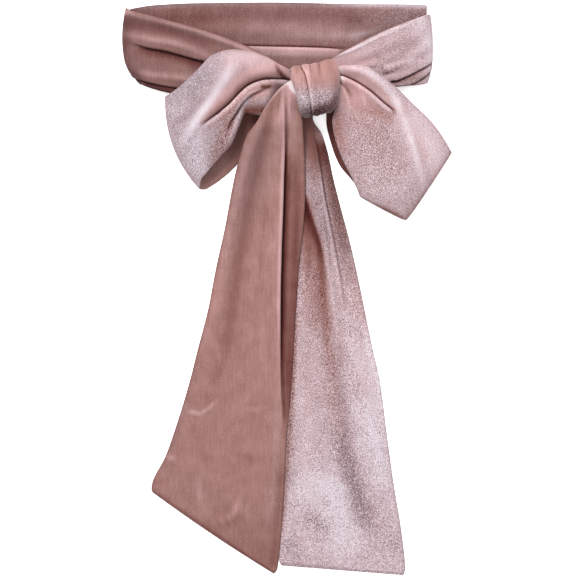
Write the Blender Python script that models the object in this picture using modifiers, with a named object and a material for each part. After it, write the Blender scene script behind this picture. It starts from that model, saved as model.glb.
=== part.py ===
"""A velvet waist sash tied in a bow and laid flat: a waistband that passes behind and
in front, a wrapped knot, two bow loops and two hanging tails.

Metres, +Z up. The sash lies on the plane z = 0 with the tails towards -Y. Every table
below is in millimetres, measured in the same frame.
"""

import math
from collections import namedtuple

import bmesh
import bpy
import numpy as np

MM = 0.001

# Driving sizes of the cloth: two layers of velvet make one wall, and REST is the height of
# the wall's middle where it lies on the surface
WALL = 2.2
PIECE_GAP = 0.35
REST = WALL / 2

# The waistband folds flat at each side, round this inner height
FOLD_TOP = 11.0
FOLD_MIDDLE = (FOLD_TOP + REST) / 2

# Where a section that bows is furthest out, from edge a to edge b, and how evenly it bows
BAND_PEAK = 0.65
LOOP_PEAK = 0.5
LOOP_RIGHT_PEAK = 0.7
EVEN_BOW = 2.0
LOOP_RIGHT_BOW = 1.2

# How finely each stretch is divided, across and along
FINE = {
    "waistband_back": (18, 12),
    "waistband_front_left": (20, 24),
    "waistband_front_right": (20, 20),
    "bow_loop_left": (18, 30),
    "bow_loop_right": (18, 28),
    "tail_left": (16, 24),
    "tail_right": (16, 22),
}

# One row is a section of the cloth: edge a, edge b, how far the section bows out of the
# straight line between them in plan, and how high its middle stands above that line
Section = namedtuple("Section", "ax ay az bx by bz bow crown")

# One row is a fold that runs along the cloth: the sections it starts and ends at, where
# its crest lies across the cloth at the start, middle and end (0 at edge a, 1 at edge b),
# its reach towards edge a and towards edge b, its height at the start, middle and end,
# and how far its crest leans towards edge b
Fold = namedtuple("Fold", "first last at0 atm at1 reach_a reach_b h0 hm h1 lean")

# The back of the waistband, from its left fold to its right fold
BACK_SECTIONS = [
    Section(-187.5, 332, REST, -170.5, 249, REST, 11, 0),
    Section(-160, 336, REST, -150, 244, REST, 4, 0),
    Section(-110, 339, REST, -110, 240, REST, 0, 0),
    Section(-20, 343, REST, -20, 238, REST, 0, 0),
    Section(64, 342, REST, 64, 238, REST, 0, 0),
    Section(150, 341, REST, 142, 242, REST, 0, 0),
    Section(168.0, 340, REST, 162.4, 249, REST, -1, 0),
]
BACK_FOLDS = [
    Fold(1.2, 5.2, 0.47, 0.45, 0.46, 5, 13, 0, 6.5, 0, -4),
    Fold(0.6, 5.8, 0.28, 0.22, 0.26, 16, 18, 0, 1.6, 0, 0),
]

# The front of the waistband on the left, from under the left fold to the knot
FRONT_LEFT_SECTIONS = [
    Section(-188, 332, REST, -171, 249, REST, 11, 0),
    Section(-190, 332, REST, -173, 247, REST, 11.5, 0),
    Section(-192, 333, 3.0, -175, 246, 3.0, 12.5, 0),
    Section(-192.5, 333, FOLD_MIDDLE, -175.5, 245, FOLD_MIDDLE, 13.2, 0),
    Section(-191, 333, 9.4, -174, 244, 9.0, 12.5, 0),
    Section(-186, 331, FOLD_TOP, -168, 241, 10, 10.5, 0),
    Section(-157, 324, 11, -139, 233, 9, 6, 0),
    Section(-130, 317, 11, -112, 228, 8, 3, 0),
    Section(-95, 307, 11, -82, 224, 7, 0, 0),
    Section(-61, 295, 12, -52, 224, 7, 0, 0),
    Section(-32, 282, 12, -26, 230, 7, 0, 0),
    Section(-10, 269, 12.5, -6, 240, 9, 0, 0),
    Section(16, 256, 13, 17, 246, 10, 0, 0),
]
FRONT_LEFT_FOLDS = [
    Fold(3.2, 10.5, 0.03, 0.04, 0.05, 5, 5, 0, 2.4, 0, -1),
    Fold(3.2, 10.0, 0.33, 0.29, 0.28, 10, 5, 0, 5.5, 0, 4),
    Fold(3.2, 10.0, 0.55, 0.60, 0.60, 9, 10, 0, 3.0, 0, 0),
    Fold(4.0, 9.0, 0.86, 0.77, 0.76, 6, 4, 0, 4.0, 0, 3),
]

# The front of the waistband on the right, from under the right fold to the knot
FRONT_RIGHT_SECTIONS = [
    Section(168, 329, REST, 163, 249, REST, 1, 0),
    Section(169.5, 328, REST, 165, 248, REST, 2.5, 0),
    Section(171, 328, 3.0, 167, 247, 3.0, 4, 0),
    Section(171.5, 328, FOLD_MIDDLE, 168, 246, FOLD_MIDDLE, 5, 0),
    Section(169.5, 328, 9.4, 166.5, 245, 9.0, 4.5, 0),
    Section(163, 326, FOLD_TOP, 159, 243, 10, 4, 0),
    Section(141, 318, 11, 132, 240, 9, 0, 0),
    Section(114, 307, 11, 106, 239, 9, 0, 0),
    Section(88, 294, 13, 86, 240, 10, 0, 0),
    Section(70, 284, 15, 71, 244, 13, 0, 0),
    Section(53, 274, 18, 54, 252, 16, 0, 0),
]
FRONT_RIGHT_FOLDS = [
    Fold(3.4, 9.0, 0.18, 0.26, 0.32, 8, 8, 0, 2.0, 0, 1),
    Fold(3.4, 9.0, 0.40, 0.50, 0.58, 8, 5, 0, 2.8, 0, 3),
    Fold(3.4, 9.0, 0.60, 0.70, 0.80, 8, 4, 0, 4.5, 0, 4),
    Fold(3.4, 8.0, 0.78, 0.86, 0.92, 6, 4, 0, 3.6, 0, 3),
]

# The left bow loop: out of the knot on top, round its outer turn and back underneath
LOOP_LEFT_SECTIONS = [
    Section(12, 256, 33, 15, 232, 18, 0, 0),
    Section(-8, 266, 34, -7, 234, 18, 0, 0),
    Section(-25, 276, 34, -29, 217, 20, 0, 3),
    Section(-46, 283, 33, -49, 209, 19, 0, 5),
    Section(-66, 285, 32, -57, 194, 18, 2, 6),
    Section(-88, 279, 31, -67, 175, 18, 4, 6),
    Section(-108, 260, 29, -79, 157, 17, 6, 6),
    Section(-127, 242, 27, -94, 140, 16, 9, 4),
    Section(-139, 233, 25, -103, 128, 14, 11, 2),
    Section(-145, 229, 21, -104, 119, 9, 12, 0),
    Section(-141, 229, 17.5, -99, 118, 4, 11, 0),
    Section(-128, 231, 16.5, -91, 122, REST, 8, -2),
    Section(-98, 238, 16.5, -72, 136, REST, 4, -4),
    Section(-66, 244, 17, -52, 157, REST, 2, -4),
    Section(-36, 246, 17, -28, 186, 4, 0, -2),
    Section(-8, 244, 16.5, -4, 217, 9, 0, 0),
    Section(12, 242, 17, 14, 224, 10, 0, 0),
]
LOOP_LEFT_FOLDS = [
    Fold(0.0, 6.8, 0.20, 0.47, 0.42, 13, 4, 2, 7, 0, 5),
    Fold(1.0, 6.6, 0.50, 0.67, 0.66, 4, 6, 0, 3.5, 0, 0),
]

# The right bow loop, in the same order
LOOP_RIGHT_SECTIONS = [
    Section(50, 262, 34, 45, 226, 22, 0, 0),
    Section(70, 266, 34, 57, 211, 20, 0, 3),
    Section(88, 266, 34, 54, 199, 19, 3, 5),
    Section(109, 256, 33, 56, 184, 18, 9, 7),
    Section(130, 240, 31, 61, 167, 17, 17, 7),
    Section(151, 220, 28, 68, 150, 15, 26, 6),
    Section(172, 200, 25, 77, 133, 13, 36, 4),
    Section(189, 177, 21, 84, 118, 11, 44, 2),
    Section(197, 163, 14, 88, 110, 7, 49, 0),
    Section(192, 164, 7, 91, 112, 3, 47, 0),
    Section(172, 187, REST, 79, 128, REST, 36, 0),
    Section(142, 215, 5, 62, 149, REST, 22, 0),
    Section(116, 236, 15, 52, 176, REST, 10, -3),
    Section(88, 247, 17.5, 47, 200, 5, 3, -2),
    Section(66, 250, 19, 47, 215, 11, 0, 0),
    Section(48, 250, 22, 42, 226, 17, 0, 0),
]
LOOP_RIGHT_FOLDS = [
    Fold(0.0, 5.2, 0.08, 0.15, 0.10, 8, 4, 2, 7, 0, 5),
    Fold(4.4, 8.6, 0.16, 0.34, 0.42, 9, 7, 0, 3, 0, 1),
]

# The left tail, from the knot down to its slanting hem
TAIL_LEFT_SECTIONS = [
    Section(7, 249, 35, 12, 245, 34, 0, 0),
    Section(-2, 244, 35, 11, 237, 34, 0, 0),
    Section(-11, 236, 33, 14, 227, 31, 0, 1),
    Section(-25, 218, 28, 17, 212, 25, 0, 2),
    Section(-36, 199, 24, 19, 194, 20, 0, 2),
    Section(-48, 183, 19, 20, 179, 15, 0, 1),
    Section(-55, 163, 14, 21, 160, 11, 0, 0),
    Section(-61, 138, 8.5, 22, 136, 7, 0, 0),
    Section(-66, 114, 5, 21, 112, 5, 0, 0),
    Section(-74, 71, REST, 17.5, 70, 3.8, 0, 0),
    Section(-84, 26, REST, 12.5, 24, REST, 0, 0),
    Section(-94, -27, REST, 8.5, -32, REST, 0, 0),
    Section(-106, -73, REST, 5.5, -84, REST, 0, 0),
    Section(-115, -109, REST, 2.5, -130, REST, 0, 0),
    Section(-127, -150, REST, -2, -182, REST, 0, 0),
    Section(-144, -200, REST, -5.5, -254, REST, 0, 0),
    Section(-161, -239, REST, -12, -339, REST, 0, 0),
]
TAIL_LEFT_FOLDS = [
    Fold(1.0, 14.5, 0.60, 0.72, 0.93, 16, 5, 0, 5.5, 0, 4),
    Fold(1.0, 12.0, 0.20, 0.22, 0.24, 8, 14, 0, 2.2, 0, 0),
]

# The right tail, from under the knot down to its nearly square hem
TAIL_RIGHT_SECTIONS = [
    Section(12, 222, 9, 38, 224, 10, 0, 0),
    Section(10, 202, 7, 31, 204, 8, 0, 0),
    Section(10, 183, 4, 42, 184, 6, 0, 1),
    Section(11, 160, 2, 49.5, 160, 4, 0, 1),
    Section(13, 134, REST, 55, 134, 2.5, 0, 1),
    Section(16, 95, REST, 65, 95, REST, 0, 0),
    Section(18.5, 60, REST, 74.5, 60, REST, 0, 0),
    Section(15.5, 30, REST, 82, 28, REST, 0, 0),
    Section(12.5, 2, REST, 88, 0, REST, 0, 0),
    Section(9.5, -60, REST, 101, -64, REST, 0, 0),
    Section(6.5, -110, REST, 112, -114, REST, 0, 0),
    Section(1.8, -170, REST, 119.5, -172, REST, 0, 0),
    Section(-2.4, -235, REST, 129, -240, REST, 0, 0),
    Section(-7, -292, REST, 138, -296, REST, 0, 0),
    Section(-9, -328, REST, 142, -343, REST, 0, 0),
]
TAIL_RIGHT_FOLDS = [
    Fold(0.6, 10.5, 0.48, 0.46, 0.60, 9, 6, 2, 5.0, 0, 2),
    Fold(1.0, 9.0, 0.84, 0.84, 0.86, 5, 7, 1, 2.4, 0, 0),
    Fold(7.0, 13.5, 0.30, 0.28, 0.32, 18, 16, 0, 2.0, 0, 0),
]

# The knot: the wrap that holds the gathered cloth
KNOT_TOP_LEFT = (1.0, 266)
KNOT_TOP_RIGHT = (64.5, 276)
KNOT_BOTTOM_LEFT = (15.5, 203)
KNOT_BOTTOM_RIGHT = (59.5, 214)
KNOT_MIDDLE_Z = 24.5
KNOT_HALF_DEPTH = 21.5
KNOT_REST = WALL + PIECE_GAP
KNOT_SQUARENESS = 4.0
KNOT_BARREL = 0.36
KNOT_INSET = 1.0
KNOT_ROUND = 36
KNOT_ACROSS = 20

# One row is a pleat round the knot: where it lies across (-1 left, 1 right) at the top
# and at the bottom, its half width as a share of the knot, and its height
Pleat = namedtuple("Pleat", "top bottom width height")
KNOT_PLEATS = [
    Pleat(-0.72, -0.70, 0.20, 1.8),
    Pleat(-0.28, -0.06, 0.13, 1.8),
    Pleat(0.04, 0.20, 0.10, 1.2),
    Pleat(0.52, 0.62, 0.24, 1.8),
]

# Points this close to the floor are laid on it
FLOOR_SNAP = 0.05

# Linear colours of the velvet, by the way that its nap lies
DUSKY = (0.42, 0.23, 0.21)
PALE = (0.62, 0.42, 0.43)
SALMON = (0.56, 0.33, 0.31)
VELVET_ROUGHNESS = 0.9


def smooth_step(x):
    """0 below 0, 1 above 1, and a smooth rise between."""
    x = np.clip(x, 0.0, 1.0)
    return x * x * (3.0 - 2.0 * x)


def spline(knots, values, at):
    """A smooth curve through the table's values that never swings past them."""
    rise = np.diff(values, axis=0) / np.diff(knots)[:, None]
    before, after = rise[:-1], rise[1:]
    same_way = before * after > 0
    total = np.where(same_way, before + after, 1.0)
    inner = np.where(same_way, 2 * before * after / total, 0.0)
    slopes = np.concatenate([rise[:1], inner, rise[-1:]])
    i = np.clip(np.searchsorted(knots, at) - 1, 0, len(knots) - 2)
    span = knots[i + 1] - knots[i]
    t = ((at - knots[i]) / span)[:, None]
    span = span[:, None]
    start = (1 + 2 * t) * (1 - t) ** 2 * values[i] + t * (1 - t) ** 2 * span * slopes[i]
    end = t * t * (3 - 2 * t) * values[i + 1] - t * t * (1 - t) * span * slopes[i + 1]
    return start + end


def bow_shape(u, peak, corner):
    """How a section bows: 0 at both edges and 1 at its peak."""
    side = np.where(u < peak, u / peak, (1 - u) / (1 - peak))
    return 1 - (1 - side) ** corner


def cloth_points(sections, folds, across, along, outward=1, peak=LOOP_PEAK, corner=EVEN_BOW):
    """Places (along + 1) x (across + 1) points of the cloth's middle surface."""
    table = np.array(sections, float)
    centre = (table[:, 0:3] + table[:, 3:6]) / 2
    steps = np.linalg.norm(np.diff(centre, axis=0), axis=1)
    knots = np.concatenate([[0.0], np.cumsum(steps)])
    row = np.linspace(0.0, len(sections) - 1.0, along + 1)[:, None]
    at = np.interp(row[:, 0], np.arange(len(sections)), knots)
    smooth = spline(knots, table, at)
    edge_a, edge_b = smooth[:, None, 0:3], smooth[:, None, 3:6]
    bow, crown = smooth[:, None, 6], smooth[:, None, 7]
    u = np.linspace(0.0, 1.0, across + 1)[None, :]

    chord = edge_b - edge_a
    width = np.linalg.norm(chord[..., 0:2], axis=2)
    run = chord[..., 0:2] / width[..., None]
    aside = outward * np.stack([-run[..., 1], run[..., 0]], axis=2)

    points = edge_a + chord * u[..., None]
    points[..., 0:2] += aside * (bow * bow_shape(u, peak, corner))[..., None]
    points[..., 2] += crown * 4 * u * (1 - u)
    for fold in folds:
        s = np.clip((row - fold.first) / (fold.last - fold.first), 0.0, 1.0)
        early, late = smooth_step(2 * s), smooth_step(2 * s - 1)
        centre_u = fold.at0 + (fold.atm - fold.at0) * early + (fold.at1 - fold.atm) * late
        height = fold.h0 + (fold.hm - fold.h0) * early + (fold.h1 - fold.hm) * late
        inside = (row >= fold.first) & (row <= fold.last)
        away = (u - centre_u) * width
        reach = np.where(away < 0, fold.reach_a, fold.reach_b)
        bump = inside * np.exp(-((away / reach) ** 2))
        tallest = max(fold.h0, fold.hm, fold.h1)
        points[..., 2] += height * bump
        points[..., 0:2] += run * (fold.lean * height / tallest * bump)[..., None]
    points[..., 2] = np.maximum(points[..., 2], REST)
    return points


def material(name, colour):
    """Velvet in one colour."""
    made = bpy.data.materials.new(name)
    made.use_nodes = True
    shader = made.node_tree.nodes["Principled BSDF"]
    shader.inputs["Base Color"].default_value = (*colour, 1.0)
    shader.inputs["Roughness"].default_value = VELVET_ROUGHNESS
    shader.inputs["Metallic"].default_value = 0.0
    made.diffuse_color = (*colour, 1.0)
    return made


def add_object(name, mesh, collection):
    """Links a new object that holds the mesh."""
    mesh.shade_smooth()
    made = bpy.data.objects.new(name, mesh)
    collection.objects.link(made)
    return made


def mesh_from(bm, name):
    """Turns a finished bmesh into a mesh."""
    mesh = bpy.data.meshes.new(name)
    bm.to_mesh(mesh)
    bm.free()
    return mesh


def evaluated_mesh(source):
    """The mesh of an object with its modifiers applied."""
    bpy.context.view_layer.update()
    graph = bpy.context.evaluated_depsgraph_get()
    return bpy.data.meshes.new_from_object(source.evaluated_get(graph))


def add_cloth(name, sections, folds, colour, **shape):
    """Lays a grid over the sections, gives it the cloth's thickness and rests it flat."""
    across, along = FINE[name]
    points = cloth_points(sections, folds, across, along, **shape) * MM
    bm = bmesh.new()
    bmesh.ops.create_grid(bm, x_segments=across, y_segments=along, size=1.0)
    bm.verts.ensure_lookup_table()
    for i, vert in enumerate(bm.verts):
        vert.co = points[i // (across + 1), i % (across + 1)]
    bmesh.ops.recalc_face_normals(bm, faces=bm.faces[:])
    cloth = add_object(name, mesh_from(bm, name), sash)

    wall = cloth.modifiers.new("wall", "SOLIDIFY")
    wall.thickness = WALL * MM
    wall.offset = 0.0
    thick = evaluated_mesh(cloth)
    cloth.modifiers.clear()
    for vert in thick.vertices:
        if vert.co.z < FLOOR_SNAP * MM:
            vert.co.z = 0.0
    thick.materials.append(material(name + "_velvet", colour))
    cloth.data = thick
    return cloth


def knot_mesh(grow):
    """The knot as a pleated barrel that lies along X, every side moved out by grow mm."""
    bm = bmesh.new()
    bmesh.ops.create_uvsphere(bm, u_segments=KNOT_ROUND, v_segments=KNOT_ACROSS, radius=1.0)
    for vert in bm.verts:
        pole = max(-1.0, min(1.0, vert.co.z))
        across = math.asin(pole) / (math.pi / 2)
        angle = math.atan2(vert.co.y, vert.co.x)
        barrel = (1 - abs(across) ** KNOT_SQUARENESS) ** KNOT_BARREL
        up, out = math.cos(angle) * barrel, math.sin(angle) * barrel
        share = (across + 1) / 2
        high = (1 + up) / 2
        pleats = 0.0
        for pleat in KNOT_PLEATS:
            centre = pleat.bottom + (pleat.top - pleat.bottom) * high
            pleats += pleat.height * math.exp(-(((across - centre) / pleat.width) ** 2))
        left = [low + (top - low) * high for low, top in zip(KNOT_BOTTOM_LEFT, KNOT_TOP_LEFT)]
        right = [low + (top - low) * high for low, top in zip(KNOT_BOTTOM_RIGHT, KNOT_TOP_RIGHT)]
        reach = grow + pleats - KNOT_INSET
        x = left[0] + (right[0] - left[0]) * share + across * grow
        y = left[1] + (right[1] - left[1]) * share + up * reach
        z = KNOT_MIDDLE_Z + out * (KNOT_HALF_DEPTH + reach)
        vert.co = (x * MM, y * MM, max(z, KNOT_REST - grow) * MM)
    bmesh.ops.recalc_face_normals(bm, faces=bm.faces[:])
    return mesh_from(bm, "knot")


def cut_round_knot(cloth, cutter):
    """Ends a stretch of cloth where it enters the knot."""
    cut = cloth.modifiers.new("knot", "BOOLEAN")
    cut.operation = "DIFFERENCE"
    cut.object = cutter


for old in list(bpy.data.objects):
    bpy.data.objects.remove(old)

sash = bpy.data.collections.new("waist_sash")
cutters = bpy.data.collections.new("cutters")
for group in (sash, cutters):
    bpy.context.scene.collection.children.link(group)

knot = add_object("knot", knot_mesh(0.0), sash)
knot.data.materials.append(material("knot_velvet", SALMON))
knot_cutter = add_object("knot_cutter", knot_mesh(PIECE_GAP), cutters)
knot_cutter.hide_render = True
knot_cutter.display_type = "WIRE"

add_cloth("waistband_back", BACK_SECTIONS, BACK_FOLDS, DUSKY, outward=-1, peak=BAND_PEAK)
held_by_knot = [
    add_cloth(
        "waistband_front_left",
        FRONT_LEFT_SECTIONS,
        FRONT_LEFT_FOLDS,
        DUSKY,
        outward=-1,
        peak=BAND_PEAK,
    ),
    add_cloth(
        "waistband_front_right",
        FRONT_RIGHT_SECTIONS,
        FRONT_RIGHT_FOLDS,
        PALE,
        peak=BAND_PEAK,
    ),
    add_cloth("bow_loop_left", LOOP_LEFT_SECTIONS, LOOP_LEFT_FOLDS, PALE, outward=-1),
    add_cloth(
        "bow_loop_right",
        LOOP_RIGHT_SECTIONS,
        LOOP_RIGHT_FOLDS,
        PALE,
        peak=LOOP_RIGHT_PEAK,
        corner=LOOP_RIGHT_BOW,
    ),
    add_cloth("tail_left", TAIL_LEFT_SECTIONS, TAIL_LEFT_FOLDS, DUSKY),
    add_cloth("tail_right", TAIL_RIGHT_SECTIONS, TAIL_RIGHT_FOLDS, PALE),
]
for cloth in held_by_knot:
    cut_round_knot(cloth, knot_cutter)
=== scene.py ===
# %% [markdown]
# # A velvet waist sash, tied in a bow and laid flat
#
# The sash is one long tube of stretch velvet. It is folded flat into a waistband,
# wrapped into a knot, and ends in two loops and two tails. This script dresses the
# rigid frame of that sash in cloth: each stretch that shows is a thin shell with soft
# hems and creases, a pile that changes colour with the way it is brushed, and painted
# shade and highlights.
#
# The frame comes first, because every stretch has to lie where its solid lies.

# %% Load the frame
import math
from collections import namedtuple

import bmesh
import bpy
import numpy as np
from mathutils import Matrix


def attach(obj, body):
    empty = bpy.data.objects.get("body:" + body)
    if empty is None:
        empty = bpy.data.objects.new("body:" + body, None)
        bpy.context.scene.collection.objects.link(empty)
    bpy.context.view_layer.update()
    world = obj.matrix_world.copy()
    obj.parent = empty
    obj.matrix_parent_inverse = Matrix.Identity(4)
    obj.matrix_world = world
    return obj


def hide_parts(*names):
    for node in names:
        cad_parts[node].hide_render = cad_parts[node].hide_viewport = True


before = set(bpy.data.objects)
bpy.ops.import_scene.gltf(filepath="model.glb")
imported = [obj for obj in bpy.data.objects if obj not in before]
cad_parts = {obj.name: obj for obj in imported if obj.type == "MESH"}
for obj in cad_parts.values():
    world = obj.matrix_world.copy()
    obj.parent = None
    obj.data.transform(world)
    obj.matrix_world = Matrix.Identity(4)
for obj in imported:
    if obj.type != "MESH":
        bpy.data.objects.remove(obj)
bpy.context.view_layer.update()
MM = 0.001
print("nodes in the frame:", ", ".join(sorted(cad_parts)))

# %% [markdown]
# ## Camera
#
# The sash lies on a table and is seen from straight above. A long lens far away keeps
# the high bow from growing against the flat tails. The picture is square and takes in
# a little more than the sash, so the lens follows from the width of the view.

# %% Set up the camera
VIEW_WIDTH = 691.2 * MM
CAMERA_HEIGHT = 6.0
CAMERA_SIDE = 1.2 * MM
FARTHEST_SEEN = 3 * CAMERA_HEIGHT

camera_data = bpy.data.cameras.new("camera")
camera_data.lens = camera_data.sensor_width * CAMERA_HEIGHT / VIEW_WIDTH
camera_data.clip_end = FARTHEST_SEEN
camera = bpy.data.objects.new("camera", camera_data)
camera.location = (CAMERA_SIDE, 0.0, CAMERA_HEIGHT)
bpy.context.scene.collection.objects.link(camera)
bpy.context.scene.camera = camera
print("lens in mm:", round(camera_data.lens))

# %% [markdown]
# ## Sections and folds
#
# Cloth that is folded and gathered is easiest to draw as a row of sections, as on a
# dressmaker's pattern. Each section says where the two edges of the cloth lie and how
# high, in millimetres. Its bow is how far the cloth bulges sideways between its edges,
# and its crown how far the middle rises.
#
# Folds run along the cloth from a first section to a last one. Each has its place across
# the cloth (0 at edge a, 1 at edge b) and its height at its start, middle and end, and its
# own reach on each side, so that one side can be steep and the other soft. A shape is all
# of that with the number of squares of its grid across and along.

# %% Name the columns of the tables
WALL = 2.2
REST = WALL / 2
AIR = 0.1
ON_TAIL = REST + WALL + AIR
NO_TURN = 99.0

Section = namedtuple("Section", "ax ay az bx by bz bow crown")
EDGE_A = slice(0, 3)
EDGE_B = slice(3, 6)
BOW_COLUMN = 6
CROWN_COLUMN = 7
Fold = namedtuple("Fold", "first last at0 atm at1 reach_a reach_b h0 hm h1 lean")
Bow = namedtuple("Bow", "side peak corner")
Shape = namedtuple("Shape", "sections folds bow across along")
print("the velvet's wall in mm:", WALL)


# %% [markdown]
# A smooth curve has to pass through the sections. A plain spline swings past them where
# the cloth turns back on itself, so each slope is held to what its neighbours allow. An
# arch raises the middle of the cloth, and a fade ends each fold and crease softly.


# %% Draw smooth curves through a table
def smooth_step(x):
    """0 below 0, 1 above 1, and a smooth rise between."""
    x = np.clip(x, 0.0, 1.0)
    return x * x * (3.0 - 2.0 * x)


def arch(x):
    """0 at both ends and 1 in the middle."""
    return 4.0 * x * (1.0 - x)


def fade(away, reach):
    """1 on a line, and hardly anything two reaches away from it."""
    return np.exp(-((away / reach) ** 2))


def spline(knots, values, at):
    """A smooth curve through the table's values that never swings past them."""
    # The slope at each knot is the harmonic mean of the rises before and after it, or 0
    # where the two rises differ in sign.
    rise = np.diff(values, axis=0) / np.diff(knots)[:, None]
    before, after = rise[:-1], rise[1:]
    same_way = before * after > 0
    total = np.where(same_way, before + after, 1.0)
    inner = np.where(same_way, 2 * before * after / total, 0.0)
    slopes = np.concatenate([rise[:1], inner, rise[-1:]])
    i = np.clip(np.searchsorted(knots, at) - 1, 0, len(knots) - 2)
    span = knots[i + 1] - knots[i]
    t = ((at - knots[i]) / span)[:, None]
    span = span[:, None]
    start = (1 + 2 * t) * (1 - t) ** 2 * values[i] + t * (1 - t) ** 2 * span * slopes[i]
    end = t * t * (3 - 2 * t) * values[i + 1] - t * t * (1 - t) * span * slopes[i + 1]
    return start + end


def three_stage(start, middle, end, s):
    """Goes smoothly from start to middle and on to end as s goes from 0 to 1."""
    early, late = smooth_step(2 * s), smooth_step(2 * s - 1)
    return start + (middle - start) * early + (end - middle) * late


def middle_line(sections):
    """The line midway between the cloth's two edges, and how far along it each point lies."""
    table = np.array(sections, float)
    middle = (table[:, EDGE_A] + table[:, EDGE_B]) / 2
    steps = np.linalg.norm(np.diff(middle, axis=0), axis=1)
    return table, np.concatenate([[0.0], np.cumsum(steps)])


print("a quarter of the way, a smooth step has risen to", smooth_step(0.25))


# %% [markdown]
# ## From sections to a sheet
#
# The sheet is a grid. Its points are read from the sections: straight from edge a to
# edge b, then bowed in plan, crowned in height and raised along each fold. A fold's crest
# can lean towards edge b, which makes the soft roll that pressed velvet has. A cloth
# simulation could drape a strip too, but no run of it would fall into this bow's folds, so
# each stretch is shaped one by one.


# %% Place the points of a sheet
def sheet_points(shape, u):
    """The sheet's points, one row of u (0 at edge a, 1 at edge b) for each of its rows."""
    table, knots = middle_line(shape.sections)
    row = np.linspace(0.0, len(shape.sections) - 1.0, shape.along + 1)[:, None]
    at = np.interp(row[:, 0], np.arange(len(shape.sections)), knots)
    smooth = spline(knots, table, at)
    edge_a, edge_b = smooth[:, None, EDGE_A], smooth[:, None, EDGE_B]
    bend, crown = smooth[:, None, BOW_COLUMN], smooth[:, None, CROWN_COLUMN]

    # In plan, run points from edge a to edge b and aside is square to it. part is 0 at
    # both edges and 1 where the bow is widest.
    chord = edge_b - edge_a
    width = np.linalg.norm(chord[..., 0:2], axis=2)
    run = chord[..., 0:2] / width[..., None]
    bow = shape.bow
    aside = bow.side * np.stack([-run[..., 1], run[..., 0]], axis=2)
    part = np.where(u < bow.peak, u / bow.peak, (1 - u) / (1 - bow.peak))

    points = edge_a + chord * u[..., None]
    points[..., 0:2] += aside * (bend * (1 - (1 - part) ** bow.corner))[..., None]
    points[..., 2] += crown * arch(u)
    for fold in shape.folds:
        s = np.clip((row - fold.first) / (fold.last - fold.first), 0.0, 1.0)
        crest = three_stage(fold.at0, fold.atm, fold.at1, s)
        height = three_stage(fold.h0, fold.hm, fold.h1, s)
        inside = (row >= fold.first) & (row <= fold.last)
        away = (u - crest) * width
        reach = np.where(away < 0, fold.reach_a, fold.reach_b)
        bump = inside * fade(away, reach)
        tallest = max(abs(fold.h0), abs(fold.hm), abs(fold.h1))
        points[..., 2] += height * bump
        points[..., 0:2] += run * (fold.lean * height / tallest * bump)[..., None]
    return points, np.broadcast_to(row, u.shape)


def report_run(label, sections):
    """Prints how long a stretch is along its middle."""
    print(label, "runs, in mm:", round(float(middle_line(sections)[1][-1])))


# %% [markdown]
# ## Creases, brushed pile and painted light
#
# Small creases don't follow the sections. Each is drawn in plan as a line of points with
# its strength, and raises or lowers the cloth with its own reach on either side. Left and
# right are as one looks along the line from its first point. The same line paints the
# tone: painted shade along the valleys and a painted highlight along the crests. A brush
# is the same without the height. It gives the wide soft patches that hands leave on velvet,
# and also painted shade and painted highlights where the light falls across the folds.

# %% Name the columns of creases and brushes
# The nap tone holds the pile's own tone and the painted shade and highlights laid on it.
Tones = namedtuple("Tones", "nap warm sparkle")
Crease = namedtuple("Crease", "path left right height nap warm")
Brush = namedtuple("Brush", "path left right nap warm sparkle")
LINE_STEPS = 40
FAR_AWAY = 1e9
print("each stroke is drawn in", LINE_STEPS, "steps")


# %% [markdown]
# To know how strongly a line works on a point of the cloth, the point's distance from the
# line is measured, and the side it lies on. Weight painting would do the same by hand. A
# measured distance gives the same brush stroke on any grid.

# %% Measure how strongly a line works on each point
def drawn_line(path):
    """A smooth line through the path's (x, y, strength) points."""
    table = np.array(path, float)
    steps = np.linalg.norm(np.diff(table[:, 0:2], axis=0), axis=1)
    knots = np.concatenate([[0.0], np.cumsum(steps)])
    return spline(knots, table, np.linspace(0.0, knots[-1], LINE_STEPS + 1))


def from_line(points, path):
    """For each point: the line's strength there, the distance (+ on its left), and square."""
    line = drawn_line(path)
    grid = points.shape[:2]
    nearest = np.full(grid, FAR_AWAY)
    strength, side = np.zeros(grid), np.ones(grid)
    square = np.zeros(grid + (2,))
    # Each short step of the line takes over the points that it is nearest to.
    for start, end in zip(line[:-1], line[1:]):
        step = end[0:2] - start[0:2]
        gap = points[..., 0:2] - start[0:2]
        share = np.clip((gap @ step) / (step @ step), 0.0, 1.0)
        distance = np.linalg.norm(gap - share[..., None] * step, axis=2)
        closer = distance < nearest
        nearest = np.where(closer, distance, nearest)
        strength = np.where(closer, start[2] + (end[2] - start[2]) * share, strength)
        side = np.where(closer, np.sign(step[0] * gap[..., 1] - step[1] * gap[..., 0]), side)
        square[closer] = np.array([-step[1], step[0]]) / np.linalg.norm(step)
    return strength, nearest * side, square


def stroke_amount(points, stroke):
    """How strongly a crease or brush works on each point."""
    strength, away, _ = from_line(points, stroke.path)
    reach = np.where(away > 0, stroke.left, stroke.right)
    return strength * fade(away, reach)


def press_creases(points, tones, creases, front):
    """Raises or lowers the cloth along each crease, and paints shade or highlight along it."""
    placed = points.copy()
    for crease in creases:
        amount = stroke_amount(placed, crease) * front
        points[..., 2] += crease.height * amount
        tones.nap[:] += crease.nap * amount
        tones.warm[:] += crease.warm * amount


def brush_pile_and_light(points, tones, brushes, front):
    """Brushes each soft stroke into the tones: patches of pile, painted shade and highlights."""
    for brush in brushes:
        amount = stroke_amount(points, brush) * front
        tones.nap[:] += brush.nap * amount
        tones.warm[:] += brush.warm * amount
        tones.sparkle[:] += brush.sparkle * amount
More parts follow.
